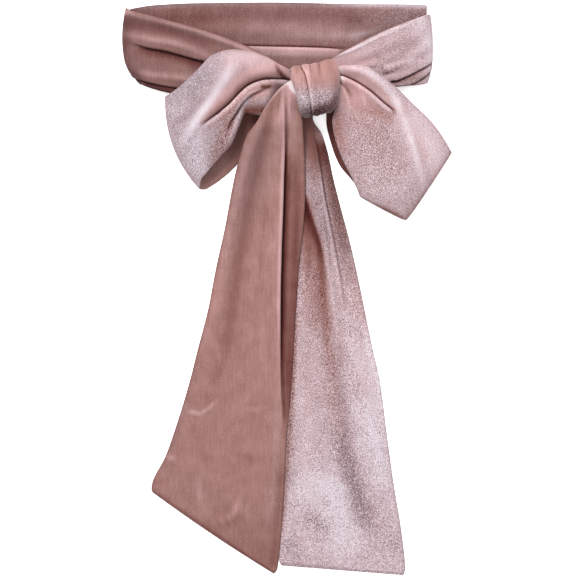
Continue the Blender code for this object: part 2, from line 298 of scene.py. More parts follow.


# %% [markdown]
# ## Tucks
#
# Where one side of a crease rolls over the other, a raised line isn't enough: the cloth
# really turns back under itself. A tuck gives each side of its line its own height, and
# moves the cloth between them backwards, so that its section is an S. The high side hangs
# over the low side and a dark crevice opens under it. The grid's columns gather round each
# tuck, because a tight roll needs more points than flat cloth.
#
# A tuck's roll is the width of the turn. Each side has a height and a reach, dark is the
# painted shade in the crevice, and the last column the painted highlight on the rim.

# %% Set how a tuck rolls
Tuck = namedtuple("Tuck", "path roll high_l high_r reach_l reach_r dark glow")
TURN_BACK = 2.6
STEP_SHARPNESS = 1.5
CREVICE = 1.4
CREVICE_FADE = 0.9
HIGH_SIDE_STEEPNESS = 2.0
RIM_PLACE = 1.0
RIM_WIDTH = 0.6
GATHERING = 4.0
GATHER_WIDTH = 9.0
GATHER_EARLY = 2.0
TRIAL_COLUMNS = 240
print("columns crowd round a tuck", 1 + GATHERING, "times as close as on flat cloth")

# %% [markdown]
# The step from the low side to the high side is a smooth one, and the push backwards is
# strongest beside the line. Painted shade darkens the tone where the crevice opens, and a
# painted highlight brightens the rim of the roll.


# %% Fold the cloth back at a tuck
def press_tucks(points, tones, tucks, front):
    """Folds the cloth over itself along each tuck, with painted shade and a painted highlight."""
    placed = points.copy()
    for tuck in tucks:
        strength, away, square = from_line(placed, tuck.path)
        strength = strength * front
        rolls = away / tuck.roll
        on_left = (1 + np.tanh(STEP_SHARPNESS * rolls)) / 2
        left = tuck.high_l * fade(away, tuck.reach_l) * on_left
        right = tuck.high_r * fade(away, tuck.reach_r) * (1 - on_left)
        points[..., 2] += strength * (left + right)
        back = TURN_BACK * strength * away * fade(away, tuck.roll)
        points[..., 0:2] -= square * back[..., None]
        # From here on, low is counted in rolls and is positive on the lower side.
        low = rolls if tuck.high_l < tuck.high_r else -rolls
        past = np.where(low > 0, np.maximum(low - CREVICE, 0.0), -HIGH_SIDE_STEEPNESS * low)
        # Painted shade in the crevice and a painted highlight on the rim of the roll.
        tones.nap[:] += tuck.dark * strength * fade(past, CREVICE_FADE)
        tones.nap[:] += tuck.glow * strength * fade(low + RIM_PLACE, RIM_WIDTH)


def gathered_columns(shape, tucks, turn):
    """Spreads the columns of the grid so that they crowd round the tucks."""
    evenly = np.linspace(0.0, 1.0, TRIAL_COLUMNS)
    trial = np.broadcast_to(evenly, (shape.along + 1, TRIAL_COLUMNS))
    points, rows = sheet_points(shape, trial)
    crowd = np.ones(trial.shape)
    for tuck in tucks:
        strength, away, _ = from_line(points, tuck.path)
        strength = np.minimum(strength * GATHER_EARLY, 1.0) * (rows < turn)
        crowd += GATHERING * strength * fade(away, GATHER_WIDTH)
    # The columns are dealt out evenly over the running total of the crowding.
    total = np.cumsum(crowd, axis=1)
    total = (total - total[:, :1]) / (total[:, -1:] - total[:, :1])
    wanted = np.linspace(0.0, 1.0, shape.across + 1)
    return np.array([np.interp(wanted, row, evenly) for row in total])


# %% [markdown]
# ## One stretch of cloth
#
# Each stretch is a bmesh grid that is moved onto its points. Solidify gives the two
# layers of the sewn tube their thickness, and one level of Subdivision Surface rounds
# the rim into a soft turned hem. The pile's three tones, with the painted shade and
# highlights in them, go into attributes, because a pattern that follows the folds has to
# move with the cloth.


# %% Build a stretch
HIGHEST_TONE = 2.0


def store_tones(mesh, tones):
    """Keeps the pile's tones, painted shade and highlights included, on the mesh for the velvet."""
    for label, values in tones._asdict().items():
        layer = mesh.attributes.new(label, "FLOAT", "POINT")
        layer.data.foreach_set("value", np.clip(values, 0.0, HIGHEST_TONE).astype(np.float32).ravel())


def grid_on(points):
    """A grid of cloth with one corner on each of the points."""
    rows, columns = points.shape[0], points.shape[1]
    bm = bmesh.new()
    bmesh.ops.create_grid(bm, x_segments=columns - 1, y_segments=rows - 1, size=1.0)
    bm.verts.ensure_lookup_table()
    for i, vert in enumerate(bm.verts):
        vert.co = points[i // columns, i % columns] * MM
    return bm


def sew_shell(name, mesh, material, grow):
    """Gives a mesh its material, its wall (grow: 0 both ways, 1 outwards) and soft hems."""
    mesh.shade_smooth()
    mesh.materials.append(material)
    piece = bpy.data.objects.new(name, mesh)
    bpy.context.scene.collection.objects.link(piece)
    wall = piece.modifiers.new("wall", "SOLIDIFY")
    wall.thickness = WALL * MM
    wall.offset = grow
    hem = piece.modifiers.new("soft hem", "SUBSURF")
    hem.levels = hem.render_levels = 1
    return piece


def make_stretch(name, points, tones, material):
    """Makes a cloth shell from the sheet's points, with its tones as attributes."""
    points[..., 2] = np.maximum(points[..., 2], REST)
    bm = grid_on(points)
    bmesh.ops.recalc_face_normals(bm, faces=bm.faces[:])
    mesh = bpy.data.meshes.new(name)
    bm.to_mesh(mesh)
    bm.free()
    store_tones(mesh, tones)
    return sew_shell(name, mesh, material, grow=0.0)


# %% [markdown]
# ## Velvet
#
# Velvet has two looks at once. Brushed smooth it is a warm dusky rose. Brushed against
# the light it turns a cool silvery pink that sparkles. The shader mixes two colour ramps:
# the nap tone, which also carries the painted shade and highlights, picks how light the
# cloth is, and the warm tone picks the ramp. The colours are noted as they look in
# daylight on a screen, turned into amounts of light by the screen's curve, and divided by
# the light that falls on the table.

# %% Note the velvet's colours
DAYLIGHT = 2.2
BRIGHTEST = 255.0
DARK_END = 0.04045
DARK_SLOPE = 12.92
CURVE_OFFSET = 0.055
CURVE_POWER = 2.4
# The darkest swatches are reached where painted shade lies in crevices, creases and inside the loops.
DUSKY_SWATCHES = (
    (0.00, (34, 6, 6)),
    (0.25, (74, 24, 20)),
    (0.42, (110, 59, 54)),
    (0.60, (153, 108, 101)),
    (0.70, (181, 136, 130)),
    (0.78, (205, 159, 158)),
    (0.90, (234, 190, 191)),
    (1.00, (252, 234, 237)),
)
SILVER_SWATCHES = (
    (0.00, (30, 18, 20)),
    (0.25, (68, 52, 55)),
    (0.42, (110, 92, 95)),
    (0.60, (156, 136, 143)),
    (0.76, (198, 179, 187)),
    (1.00, (252, 240, 249)),
)


def as_light(look):
    """The light that a screen gives at a brightness from 0 to 1."""
    if look < DARK_END:
        return look / DARK_SLOPE
    return ((look + CURVE_OFFSET) / (1.0 + CURVE_OFFSET)) ** CURVE_POWER


def swatch(colour):
    """The cloth's own colour, from how it looks in daylight in 0 to 255."""
    return tuple(as_light(channel / BRIGHTEST) / DAYLIGHT for channel in colour)


print("swatches noted:", len(DUSKY_SWATCHES), "dusky and", len(SILVER_SWATCHES), "silver")


# %% [markdown]
# A fine noise stands for the tips of the pile that catch the light. It is strong where
# the cloth sparkles and faint where the pile lies smooth. A wide, soft noise keeps any
# patch from being one flat colour, and a stretched one gives the fine ribs of the knit.

# %% Write the velvet's small nodes
NOISE_MIDDLE = 0.5


def noise(tree, place, scale, detail, stretch=(1.0, 1.0, 1.0)):
    """A noise round 0, in metres of the object's own space."""
    mapping = tree.nodes.new("ShaderNodeMapping")
    mapping.inputs["Scale"].default_value = stretch
    tree.links.new(place, mapping.inputs["Vector"])
    made = tree.nodes.new("ShaderNodeTexNoise")
    made.inputs["Scale"].default_value = scale
    made.inputs["Detail"].default_value = detail
    tree.links.new(mapping.outputs["Vector"], made.inputs["Vector"])
    return math_node(tree, "SUBTRACT", made.outputs["Fac"], NOISE_MIDDLE)


def math_node(tree, operation, first, second):
    """A Math node fed by sockets or plain numbers."""
    node = tree.nodes.new("ShaderNodeMath")
    node.operation = operation
    for socket, value in zip(node.inputs, (first, second)):
        if isinstance(value, float):
            socket.default_value = value
        else:
            tree.links.new(value, socket)
    return node.outputs[0]


def attribute(tree, label):
    """One of the pile's tones."""
    node = tree.nodes.new("ShaderNodeAttribute")
    node.attribute_name = label
    return node.outputs["Fac"]


def swatch_ramp(tree, tone, swatches):
    """A colour ramp through the swatches."""
    node = tree.nodes.new("ShaderNodeValToRGB")
    elements = node.color_ramp.elements
    while len(elements) < len(swatches):
        elements.new(1.0)
    for element, (place, colour) in zip(elements, swatches):
        element.position = place
        element.color = (*swatch(colour), 1.0)
    tree.links.new(tone, node.inputs["Fac"])
    return node.outputs["Color"]


# %% [markdown]
# The nodes are joined here. A hair system would give real pile, but at arm's length velvet
# shows no single fibre: its look is tone, glint and a soft sheen. So the pile is painted
# into the colour, with a fine bump, and the surface stays matt with a little sheen.

# %% Mix the velvet
SPARKLE_SIZE = 1050.0
SPARKLE_AMOUNT = 1.70
FAINT_GRAIN = 0.12
PLAIN_DETAIL = 1.0
GLINT_COOLNESS = 0.6
MOTTLE_SIZE = 55.0
MOTTLE_AMOUNT = 0.10
RIB_SIZE = 420.0
RIB_STRETCH = (1.0, 0.12, 0.12)
RIB_DETAIL = 2.0
RIB_AMOUNT = 0.10
PILE_BUMP = {"Strength": 0.25, "Distance": 0.0005}
MATT_PILE = {
    "Roughness": 0.9,
    "Specular IOR Level": 0.15,
    "Sheen Weight": 0.15,
    "Sheen Roughness": 0.4,
    "Sheen Tint": (1.0, 0.86, 0.86, 1.0),
}


def velvet(name):
    """The sash's stretch velvet."""
    made = bpy.data.materials.new(name)
    made.use_nodes = True
    tree = made.node_tree
    shader = tree.nodes["Principled BSDF"]
    place = tree.nodes.new("ShaderNodeTexCoord").outputs["Object"]

    # Painted glints: a fine noise, strong where the cloth sparkles, lightens and darkens the tone in
    # specks. The same noise is the pile's fine bump.
    glint_and_bump_noise = noise(tree, place, SPARKLE_SIZE, PLAIN_DETAIL)
    glint = math_node(tree, "MULTIPLY", attribute(tree, "sparkle"), SPARKLE_AMOUNT)
    glint = math_node(tree, "ADD", glint, FAINT_GRAIN)
    glint = math_node(tree, "MULTIPLY", glint_and_bump_noise, glint)
    mottle = noise(tree, place, MOTTLE_SIZE, PLAIN_DETAIL)
    mottle = math_node(tree, "MULTIPLY", mottle, MOTTLE_AMOUNT)
    ribs = noise(tree, place, RIB_SIZE, RIB_DETAIL, RIB_STRETCH)
    ribs = math_node(tree, "MULTIPLY", ribs, RIB_AMOUNT)
    tone = math_node(tree, "ADD", attribute(tree, "nap"), glint)
    tone = math_node(tree, "ADD", tone, mottle)
    tone = math_node(tree, "ADD", tone, ribs)

    cooler = math_node(tree, "MULTIPLY", glint, GLINT_COOLNESS)
    warmth = math_node(tree, "SUBTRACT", attribute(tree, "warm"), cooler)
    mix = tree.nodes.new("ShaderNodeMix")
    mix.data_type = "RGBA"
    tree.links.new(warmth, mix.inputs["Factor"])
    colours = [socket for socket in mix.inputs if socket.type == "RGBA"]
    tree.links.new(swatch_ramp(tree, tone, SILVER_SWATCHES), colours[0])
    tree.links.new(swatch_ramp(tree, tone, DUSKY_SWATCHES), colours[1])
    result = [socket for socket in mix.outputs if socket.type == "RGBA"][0]
    tree.links.new(result, shader.inputs["Base Color"])

    bump = tree.nodes.new("ShaderNodeBump")
    for label, value in PILE_BUMP.items():
        bump.inputs[label].default_value = value
    tree.links.new(glint_and_bump_noise, bump.inputs["Height"])
    tree.links.new(bump.outputs["Normal"], shader.inputs["Normal"])
    for label, value in MATT_PILE.items():
        shader.inputs[label].default_value = value
    return made


velvet_cloth = velvet("stretch_velvet")
print("velvet nodes:", len(velvet_cloth.node_tree.nodes))


# %% [markdown]
# ## Hand a finished piece to the frame
#
# Every stretch replaces the plain solid of the same name and rides on the one rigid body.
# The long edges are seams rolled over, so a thin painted shade runs along both. Where a
# stretch turns over, its strokes fade out, because they belong to the front layer.


# %% Finish a stretch
HEM_SHADE = 0.10
HEM_WIDTH = 1.7
TURN_BLEND = 0.5


def shade_hems(points, u, tones):
    """Paints a thin shade along both long edges, where the rolled seam turns away."""
    width = np.linalg.norm(points[:, -1] - points[:, 0], axis=1)[:, None]
    away = np.minimum(u, 1 - u) * width
    tones.nap[:] -= HEM_SHADE * fade(away, HEM_WIDTH)


def finish_piece(piece, node):
    """Ties a finished piece to the root body and hides the plain solid of its node."""
    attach(piece, "root")
    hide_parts(node)


def cloth_piece(node, shape, pile, turn, work):
    """Builds one stretch of the sash from its tables."""
    tucks, creases, brushes = work
    u = gathered_columns(shape, tucks, turn)
    points, rows = sheet_points(shape, u)
    front = 1.0 - smooth_step(rows - turn + TURN_BLEND)
    noted_at = [row for row, _ in pile]
    noted = np.array([tones for _, tones in pile])
    tones = Tones(*(np.interp(rows, noted_at, column) for column in noted.T))
    brush_pile_and_light(points, tones, brushes, front)
    press_creases(points, tones, creases, front)
    press_tucks(points, tones, tucks, front)
    shade_hems(points, u, tones)
    piece = make_stretch(node + "_velvet", points, tones, velvet_cloth)
    finish_piece(piece, node)
    print(node, "points:", rows.size, "highest in mm:", round(float(points[..., 2].max()), 1))


# %% [markdown]
# ## The back of the waistband
#
# Behind the waist the band is one flat run of cloth with a short tuck along its middle.
# It needs only a few sections, because it lies on the table from end to end.

# %% Lay the back of the waistband
BACK_SECTIONS = [
    Section(-188.5, 335, REST, -170.5, 249, REST, 11, 0),
    Section(-160, 339.5, REST, -150, 244, REST, 4, 0),
    Section(-110, 342, REST, -110, 240, REST, 0, 0),
    Section(-20, 343, REST, -20, 238, REST, 0, 0),
    Section(64, 341.5, REST, 64, 238, REST, 0, 0),
    Section(150, 340.5, REST, 142, 242, REST, 0, 0),
    Section(168.0, 339.5, REST, 162.4, 249, REST, -1, 0),
]
BACK_FOLDS = [
    Fold(0.6, 5.8, 0.28, 0.22, 0.26, 16, 18, 0, 1.6, 0, 0),
]
BACK_BOW = Bow(side=-1, peak=0.65, corner=2.0)
report_run("back of the waistband", BACK_SECTIONS)

# %% [markdown]
# The tuck is where the folded band overlaps itself. The strip just below the line
# catches the light, so a painted highlight lies on it, and the cloth above it is dusky
# with painted shade along the line. A thin painted highlight also runs along the top edge.

# %% Crease and brush the back of the waistband
BACK_TUCKS = [
    Tuck([(-76, 289.5, 0), (-56, 289, 0.8), (-26, 288, 1), (4, 287.4, 1), (40, 286.4, 1),
          (58, 285.8, 0.7), (74, 285.4, 0)], 1.8, 0, 5.0, 4, 13, -0.32, 0.12),
]
BACK_CREASES = [
    Crease([(-170, 322, 0), (-100, 325, 1), (-20, 327, 1), (60, 326, 1), (130, 322, 0)],
           9, 9, -1.0, -0.05, 0),
    Crease([(-120, 306, 0), (-60, 311, 1), (20, 313, 1), (80, 310, 0)], 7, 7, 0.8, 0.05, 0),
    Crease([(62, 322, 0), (80, 320, 1), (96, 318, 0)], 7, 5, -0.8, -0.08, 0),
    Crease([(70, 303, 0), (92, 305, 1), (118, 311, 0)], 3, 3, 0.6, 0.07, -0.3),
]
BACK_BRUSHES = [
    Brush([(-40, 309, 0.7), (10, 308, 1), (60, 306, 0.8)], 8, 8, 0.04, 0, 0),
    Brush([(-44, 282.2, 0.7), (10, 281.6, 1), (60, 280.8, 0.8)], 5, 5, 0.27, 0.1, 0),
    Brush([(-20, 303, 0.2), (30, 303, 0.7), (60, 302, 1), (86, 301, 1)], 7, 5, 0.12, -0.1, 0),
    Brush([(-30, 273, 0.6), (10, 272, 1), (50, 273, 0.6)], 4, 10, 0.08, 0.1, 0),
    Brush([(-180, 325, 0.8), (-120, 318, 1), (-70, 312, 0.5)], 22, 22, -0.06, 0.1, 0),
    Brush([(90, 318, 0.4), (130, 322, 1), (166, 328, 1)], 16, 16, 0.0, -0.25, 0.3),
    Brush([(-186, 336, 1), (-60, 342, 1), (64, 340.5, 1), (166, 338.5, 1)], 3, 3, 0.05, -0.4, 0),
    Brush([(30, 341, 0), (90, 340.5, 1), (166, 338.5, 1)], 4, 4, 0.20, -0.3, 0),
]

# %% [markdown]
# The grid's columns gather round the tuck, so a few dozen are enough for the whole band.

# %% Sew the back of the waistband
cloth_piece(
    "waistband_back",
    shape=Shape(BACK_SECTIONS, BACK_FOLDS, BACK_BOW, across=48, along=120),
    pile=[(0, Tones(0.57, 0.8, 0.12))],
    turn=NO_TURN,
    work=(BACK_TUCKS, BACK_CREASES, BACK_BRUSHES),
)

# %% [markdown]
# ## The front of the waistband
#
# At each side the band folds over and comes back towards the knot, where its width is
# gathered. The first sections turn round the fold, from the table up to the top layer.
# Then the pleats fan out between the fold and the knot.

# %% Lay the left front of the waistband
FOLD_TOP = 11.0
FOLD_MIDDLE = (FOLD_TOP + REST) / 2
FRONT_LEFT_SECTIONS = [
    Section(-188, 334, REST, -171, 249, REST, 11, 0),
    Section(-190, 334.5, REST, -173, 247, REST, 11.5, 0),
    Section(-192, 335.5, 3.0, -175, 246, 3.0, 12.5, 0),
    Section(-192.5, 336, FOLD_MIDDLE, -175.5, 245, 4.4, 13.2, 0),
    Section(-191, 335, 9.4, -174, 244, 6.0, 12.5, 0),
    Section(-186, 332, FOLD_TOP, -168, 241, 6.4, 10.5, 0),
    Section(-157, 324, 11, -139, 233, 6.6, 6, 0),
    Section(-130, 317, 11, -112, 228, 7, 3, 0),
    Section(-95, 307, 11, -82, 224, 7, 0, 0),
    Section(-61, 295, 12, -52, 224, 7, 0, 0),
    Section(-32, 282, 12, -26, 230, 7, 0, 0),
    Section(-10, 269, 12.5, -6, 240, 9, 0, 0),
    Section(16, 256, 13, 17, 246, 10, 0, 0),
]
FRONT_LEFT_FOLDS = [
    Fold(3.2, 10.5, 0.03, 0.04, 0.05, 5, 5, 0, 2.4, 0, -1),
    Fold(3.2, 10.0, 0.33, 0.29, 0.28, 10, 7, 0, 3.0, 0, 0),
    Fold(3.2, 10.0, 0.55, 0.60, 0.60, 9, 10, 0, 3.0, 0, 0),
    Fold(4.0, 9.0, 0.86, 0.77, 0.76, 6, 6, 0, 2.0, 0, 0),
]
FRONT_LEFT_BOW = Bow(side=-1, peak=0.65, corner=2.0)
report_run("left front of the waistband", FRONT_LEFT_SECTIONS)

# %% [markdown]
# Two pleats hang over themselves, so they are tucks. The rest are creases, with painted
# highlight along the crests and painted shade in the valleys. The end by the fold is turned
# away from the light, so painted shade makes it darker and cooler, and more painted shade
# lies below the tucks.

# %% Crease and brush the left front of the waistband
FRONT_LEFT_TUCKS = [
    Tuck([(-190, 295, 0), (-178, 292, 0.5), (-164, 289, 1), (-146, 286, 1), (-128, 281, 1),
          (-114, 277, 1), (-97, 272, 1), (-76, 265, 1), (-50, 255, 0)],
         2.0, 2.4, -2.2, 7, 8, -0.15, 0.04),
    Tuck([(-190, 255, 0), (-180, 251.5, 0.6), (-170, 249, 1), (-156, 245.5, 1),
          (-140, 242.5, 1), (-122, 239.5, 1), (-104, 235, 0.8), (-88, 230, 0)],
         1.6, 1.8, -1.4, 5, 4, -0.18, 0.03),
]
FRONT_LEFT_CREASES = [
    Crease([(-192, 331, 1), (-152, 321, 1), (-104, 306, 1), (-56, 288, 1), (-14, 269, 1),
            (0, 262, 0.5)], 3, 3, 1.2, 0.19, 0),
    Crease([(-192, 317, 0.4), (-176, 315, 1), (-152, 311, 1), (-116, 300, 1), (-80, 290, 0.5),
            (-56, 282, 0)],
           9, 9, -1.5, -0.13, 0),
    Crease([(-196, 305, 0.4), (-186, 302, 0.8), (-170, 299, 1), (-152, 296, 1), (-138, 294, 1),
            (-122, 289, 1), (-104, 282, 1), (-86, 274, 1), (-66, 266, 0.8)],
           5, 4, 0.8, 0.12, 0),
    Crease([(-188, 265, 0.3), (-174, 258, 0.8), (-158, 254.5, 1), (-140, 252.5, 1),
            (-116, 250, 1), (-96, 247, 0.8)], 4, 4, 0.6, 0.09, 0),
]
FRONT_LEFT_BRUSHES = [
    Brush([(-172, 286, 0.6), (-146, 282, 1), (-120, 275, 1), (-100, 267, 1)],
          5, 9, -0.20, 0.1, 0),
    Brush([(-196, 318, 1), (-198, 290, 1), (-196, 270, 1), (-180, 250, 0.8)],
          10, 10, -0.17, -0.25, 0),
    Brush([(-166, 242, 0.8), (-140, 235, 1), (-118, 231, 1)], 6, 10, -0.24, 0, 0),
    Brush([(-140, 260, 0.5), (-115, 256, 1), (-95, 252, 1)], 7, 7, 0.08, 0.1, 0),
    Brush([(-188, 262, 0.4), (-178, 251, 1), (-166, 243, 1), (-154, 238, 0.6)],
          6, 6, -0.09, -0.1, 0),
    Brush([(-96, 297, 0.3), (-60, 284, 1), (-30, 270, 1)], 10, 10, 0.07, 0.1, 0),
]

# %% [markdown]
# The left front rests on the back of the band, and its pile is brushed the same dusky way.

# %% Sew the left front of the waistband
cloth_piece(
    "waistband_front_left",
    shape=Shape(FRONT_LEFT_SECTIONS, FRONT_LEFT_FOLDS, FRONT_LEFT_BOW, across=56, along=104),
    pile=[(0, Tones(0.57, 0.82, 0.05))],
    turn=NO_TURN,
    work=(FRONT_LEFT_TUCKS, FRONT_LEFT_CREASES, FRONT_LEFT_BRUSHES),
)

# %% [markdown]
# The right front is shorter, because the knot sits right of the middle. Its sections climb
# as they come near the knot, where the loop lies over them.

# %% Lay the right front of the waistband
FRONT_RIGHT_SECTIONS = [
    Section(168, 329, REST, 163, 249, REST, 1, 0),
    Section(169.5, 328, REST, 165, 248, REST, 2.5, 0),
    Section(171, 328, 3.0, 167, 247, 3.0, 4, 0),
    Section(171, 328, FOLD_MIDDLE, 167.5, 246, 4.4, 5, 0),
    Section(169, 328, 9.4, 166, 245, 6.0, 4.5, 0),
    Section(163, 326, FOLD_TOP, 159, 243.5, 6.6, 4, 0),
    Section(141, 318, 11, 132, 241, 7.4, 0, 0),
    Section(114, 307, 11, 106, 239, 9, 0, 0),
    Section(88, 294, 13, 86, 240, 10, 0, 0),
    Section(70, 284, 15, 71, 244, 13, 0, 0),
    Section(53, 274, 18, 54, 252, 16, 0, 0),
]
FRONT_RIGHT_FOLDS = [
    Fold(3.4, 9.0, 0.18, 0.26, 0.32, 8, 8, 0, 2.0, 0, 1),
    Fold(3.4, 9.0, 0.40, 0.50, 0.58, 8, 5, 0, 2.8, 0, 3),
    Fold(3.4, 9.0, 0.60, 0.70, 0.80, 8, 6, 0, 2.4, 0, 0),
    Fold(3.4, 8.0, 0.78, 0.86, 0.92, 6, 5, 0, 1.8, 0, 0),
]
FRONT_RIGHT_BOW = Bow(side=1, peak=0.65, corner=2.0)
report_run("right front of the waistband", FRONT_RIGHT_SECTIONS)

# %% [markdown]
# Its pile leans the other way, so it is pale and sparkles. Two fine tucks run up from its
# lower edge, with painted shade along them, and a painted highlight makes the crest along
# its upper edge nearly white.

# %% Crease and brush the right front of the waistband
FRONT_RIGHT_TUCKS = [
    Tuck([(110, 244, 0), (118, 246.5, 0.7), (133, 250.5, 1), (145, 255.5, 1), (157, 261.5, 1),
          (167, 267, 0.8), (176, 273, 0)], 1.5, 1.8, -2.0, 6, 4, -0.38, 0.03),
    Tuck([(122, 240.5, 0), (132, 242.2, 0.7), (144, 244, 1), (155, 248, 1), (164, 254, 0.9),
          (174, 263, 0)], 1.4, 1.4, -1.4, 5, 3, -0.32, 0.03),
]
FRONT_RIGHT_CREASES = [
    Crease([(62, 279, 1), (78, 285, 1), (94, 293, 1), (112, 302, 1), (130, 310, 1),
            (148, 318.5, 1), (164, 325, 0.6)], 2, 2, 1.0, 0.18, 0),
    Crease([(104, 252.5, 0.6), (114, 255, 1), (124, 258.5, 0.9), (134, 264, 0.5),
            (144, 270, 0)], 2.0, 1.3, -1.2, -0.28, 0.3),
    Crease([(112, 262, 0), (128, 266, 1), (146, 274, 1), (160, 283, 1), (172, 292, 0.5)],
           4, 4, 1.5, 0.07, 0),
    Crease([(82, 269, 0.3), (100, 274, 1), (118, 281, 1), (136, 291, 0.3)],
           4, 4, -1.2, -0.06, 0.1),
    Crease([(116, 269, 0.2), (134, 277, 1), (150, 289, 1), (160, 300, 0.2)],
           4, 4, -1.0, -0.05, 0),
]
FRONT_RIGHT_BRUSHES = [
    Brush([(66, 270, 1), (84, 272, 1), (104, 278, 0.3)], 16, 16, 0.09, 0.40, -0.3),
    Brush([(158, 322, 1), (168, 300, 1), (174, 280, 1), (170, 262, 0.5)], 13, 10, 0.09, -0.2, -0.1),
    Brush([(112, 242, 0.6), (132, 247.5, 1), (146, 252.5, 1), (158, 259, 1), (168, 265, 0.5)],
          2, 3, -0.09, 0.2, 0),
    Brush([(122, 243, 0.8), (142, 248, 1), (160, 256, 0.8)], 7, 7, -0.08, 0.1, 0),
]

# %% [markdown]
# The right front is sewn from the same velvet as every other stretch.

# %% Sew the right front of the waistband
cloth_piece(
    "waistband_front_right",
    shape=Shape(FRONT_RIGHT_SECTIONS, FRONT_RIGHT_FOLDS, FRONT_RIGHT_BOW, across=48, along=76),
    pile=[(0, Tones(0.755, 0.40, 0.4))],
    turn=NO_TURN,
    work=(FRONT_RIGHT_TUCKS, FRONT_RIGHT_CREASES, FRONT_RIGHT_BRUSHES),
)

# %% [markdown]
# ## The bow's loops
#
# Each loop comes out of the knot on top, turns over at its outer edge and goes back into
# the knot underneath. Its front layer stands up in a soft hollow arch, so the dark inner
# face shows where the two layers part. One table of sections goes all the way round: out
# with the front layer, over the turn, and back with the layer underneath.

# %% Turn the left loop
LOOP_LEFT_SECTIONS = [
    Section(12, 256, 33, 15, 232, 18, 0, 0),
    Section(-8, 266, 34, -7, 234, 18, 0, 0),
    Section(-25, 276, 34, -27, 205.5, 20, 0, 3),
    Section(-46, 283, 33, -49.5, 209, 19, 0, 5),
    Section(-66, 285, 32, -57, 194, 18, 2, 6),
    Section(-88, 279, 31, -66, 172, 18, 4, 6),
    Section(-108, 260, 29, -79, 157, 17, 6, 6),
    Section(-127, 242, 27, -94, 140, 16, 9, 4),
    Section(-139, 233, 25, -103, 128, 14, 11, 2),
    Section(-145, 229, 21, -104, 119, 9, 12, 0),
    Section(-141, 229, 17.5, -99, 118, 4, 11, 0),
    Section(-128, 231, 16.5, -91, 122, REST, 8, -2),
    Section(-98, 238, 16.5, -72, 136, REST, 4, -4),
    Section(-66, 244, 17, -52, 157, REST, 2, -4),
    Section(-36, 246, 17, -28, 186, 4, 0, -2),
    Section(-8, 244, 16.5, -4, 217, 9, 0, 0),
    Section(12, 242, 17, 14, 224, 10, 0, 0),
]
LOOP_LEFT_FOLDS = [
    Fold(0.0, 6.8, 0.16, 0.30, 0.30, 16, 14, 2, 4.5, 0, 0),
]
LOOP_LEFT_BOW = Bow(side=-1, peak=0.5, corner=2.0)
report_run("left loop", LOOP_LEFT_SECTIONS)

# %% [markdown]
# A deep tuck fans out from the knot, and a smaller one below it. The cloth above the deep
# one slopes down into it, so its tone runs from a painted highlight on the crest through
# salmon to painted brown shade at the line. More painted shade and highlights follow the
# smaller folds and the cloth by the knot. Only the front layer is brushed: the strokes stop
# at the turn.

# %% Crease and brush the left loop
LOOP_LEFT_TUCKS = [
    Tuck([(3, 247, 0.6), (-4, 247.5, 0.8), (-20, 247.5, 1), (-35, 244.5, 1), (-45, 240, 1),
          (-53, 233.5, 1), (-68.5, 217.5, 1), (-85, 204.5, 0.9), (-95, 197.5, 0.6),
          (-104, 192, 0)],
         2.0, 2.6, -3.8, 5, 8, -0.56, 0.12),
    Tuck([(-20, 239.5, 0), (-31, 237.5, 0.5), (-43, 232.5, 0.9), (-53, 224, 1), (-62, 211, 1),
          (-69, 199, 0.7), (-74, 182, 0)], 1.8, -2.4, 1.4, 5, 4, -0.25, 0.06),
]
LOOP_LEFT_CREASES = [
    Crease([(0, 243.5, 0.6), (-20, 243.5, 1), (-34, 240.5, 1), (-44, 236, 1), (-54, 229.5, 1),
            (-69, 212.5, 1), (-83, 200.5, 0.8), (-98, 190.5, 0.3)], 3, 2, 0.4, 0.06, 0.6),
    Crease([(-40, 233, 0.3), (-50, 222, 1), (-56, 208, 1), (-62, 192, 1), (-71, 174, 0.5)],
           2.4, 2.4, 1.4, 0.14, -0.2),
    Crease([(-60, 214, 0.4), (-66, 202, 1), (-70, 190, 0.6)], 4, 4, -1.6, -0.10, 0.4),
]
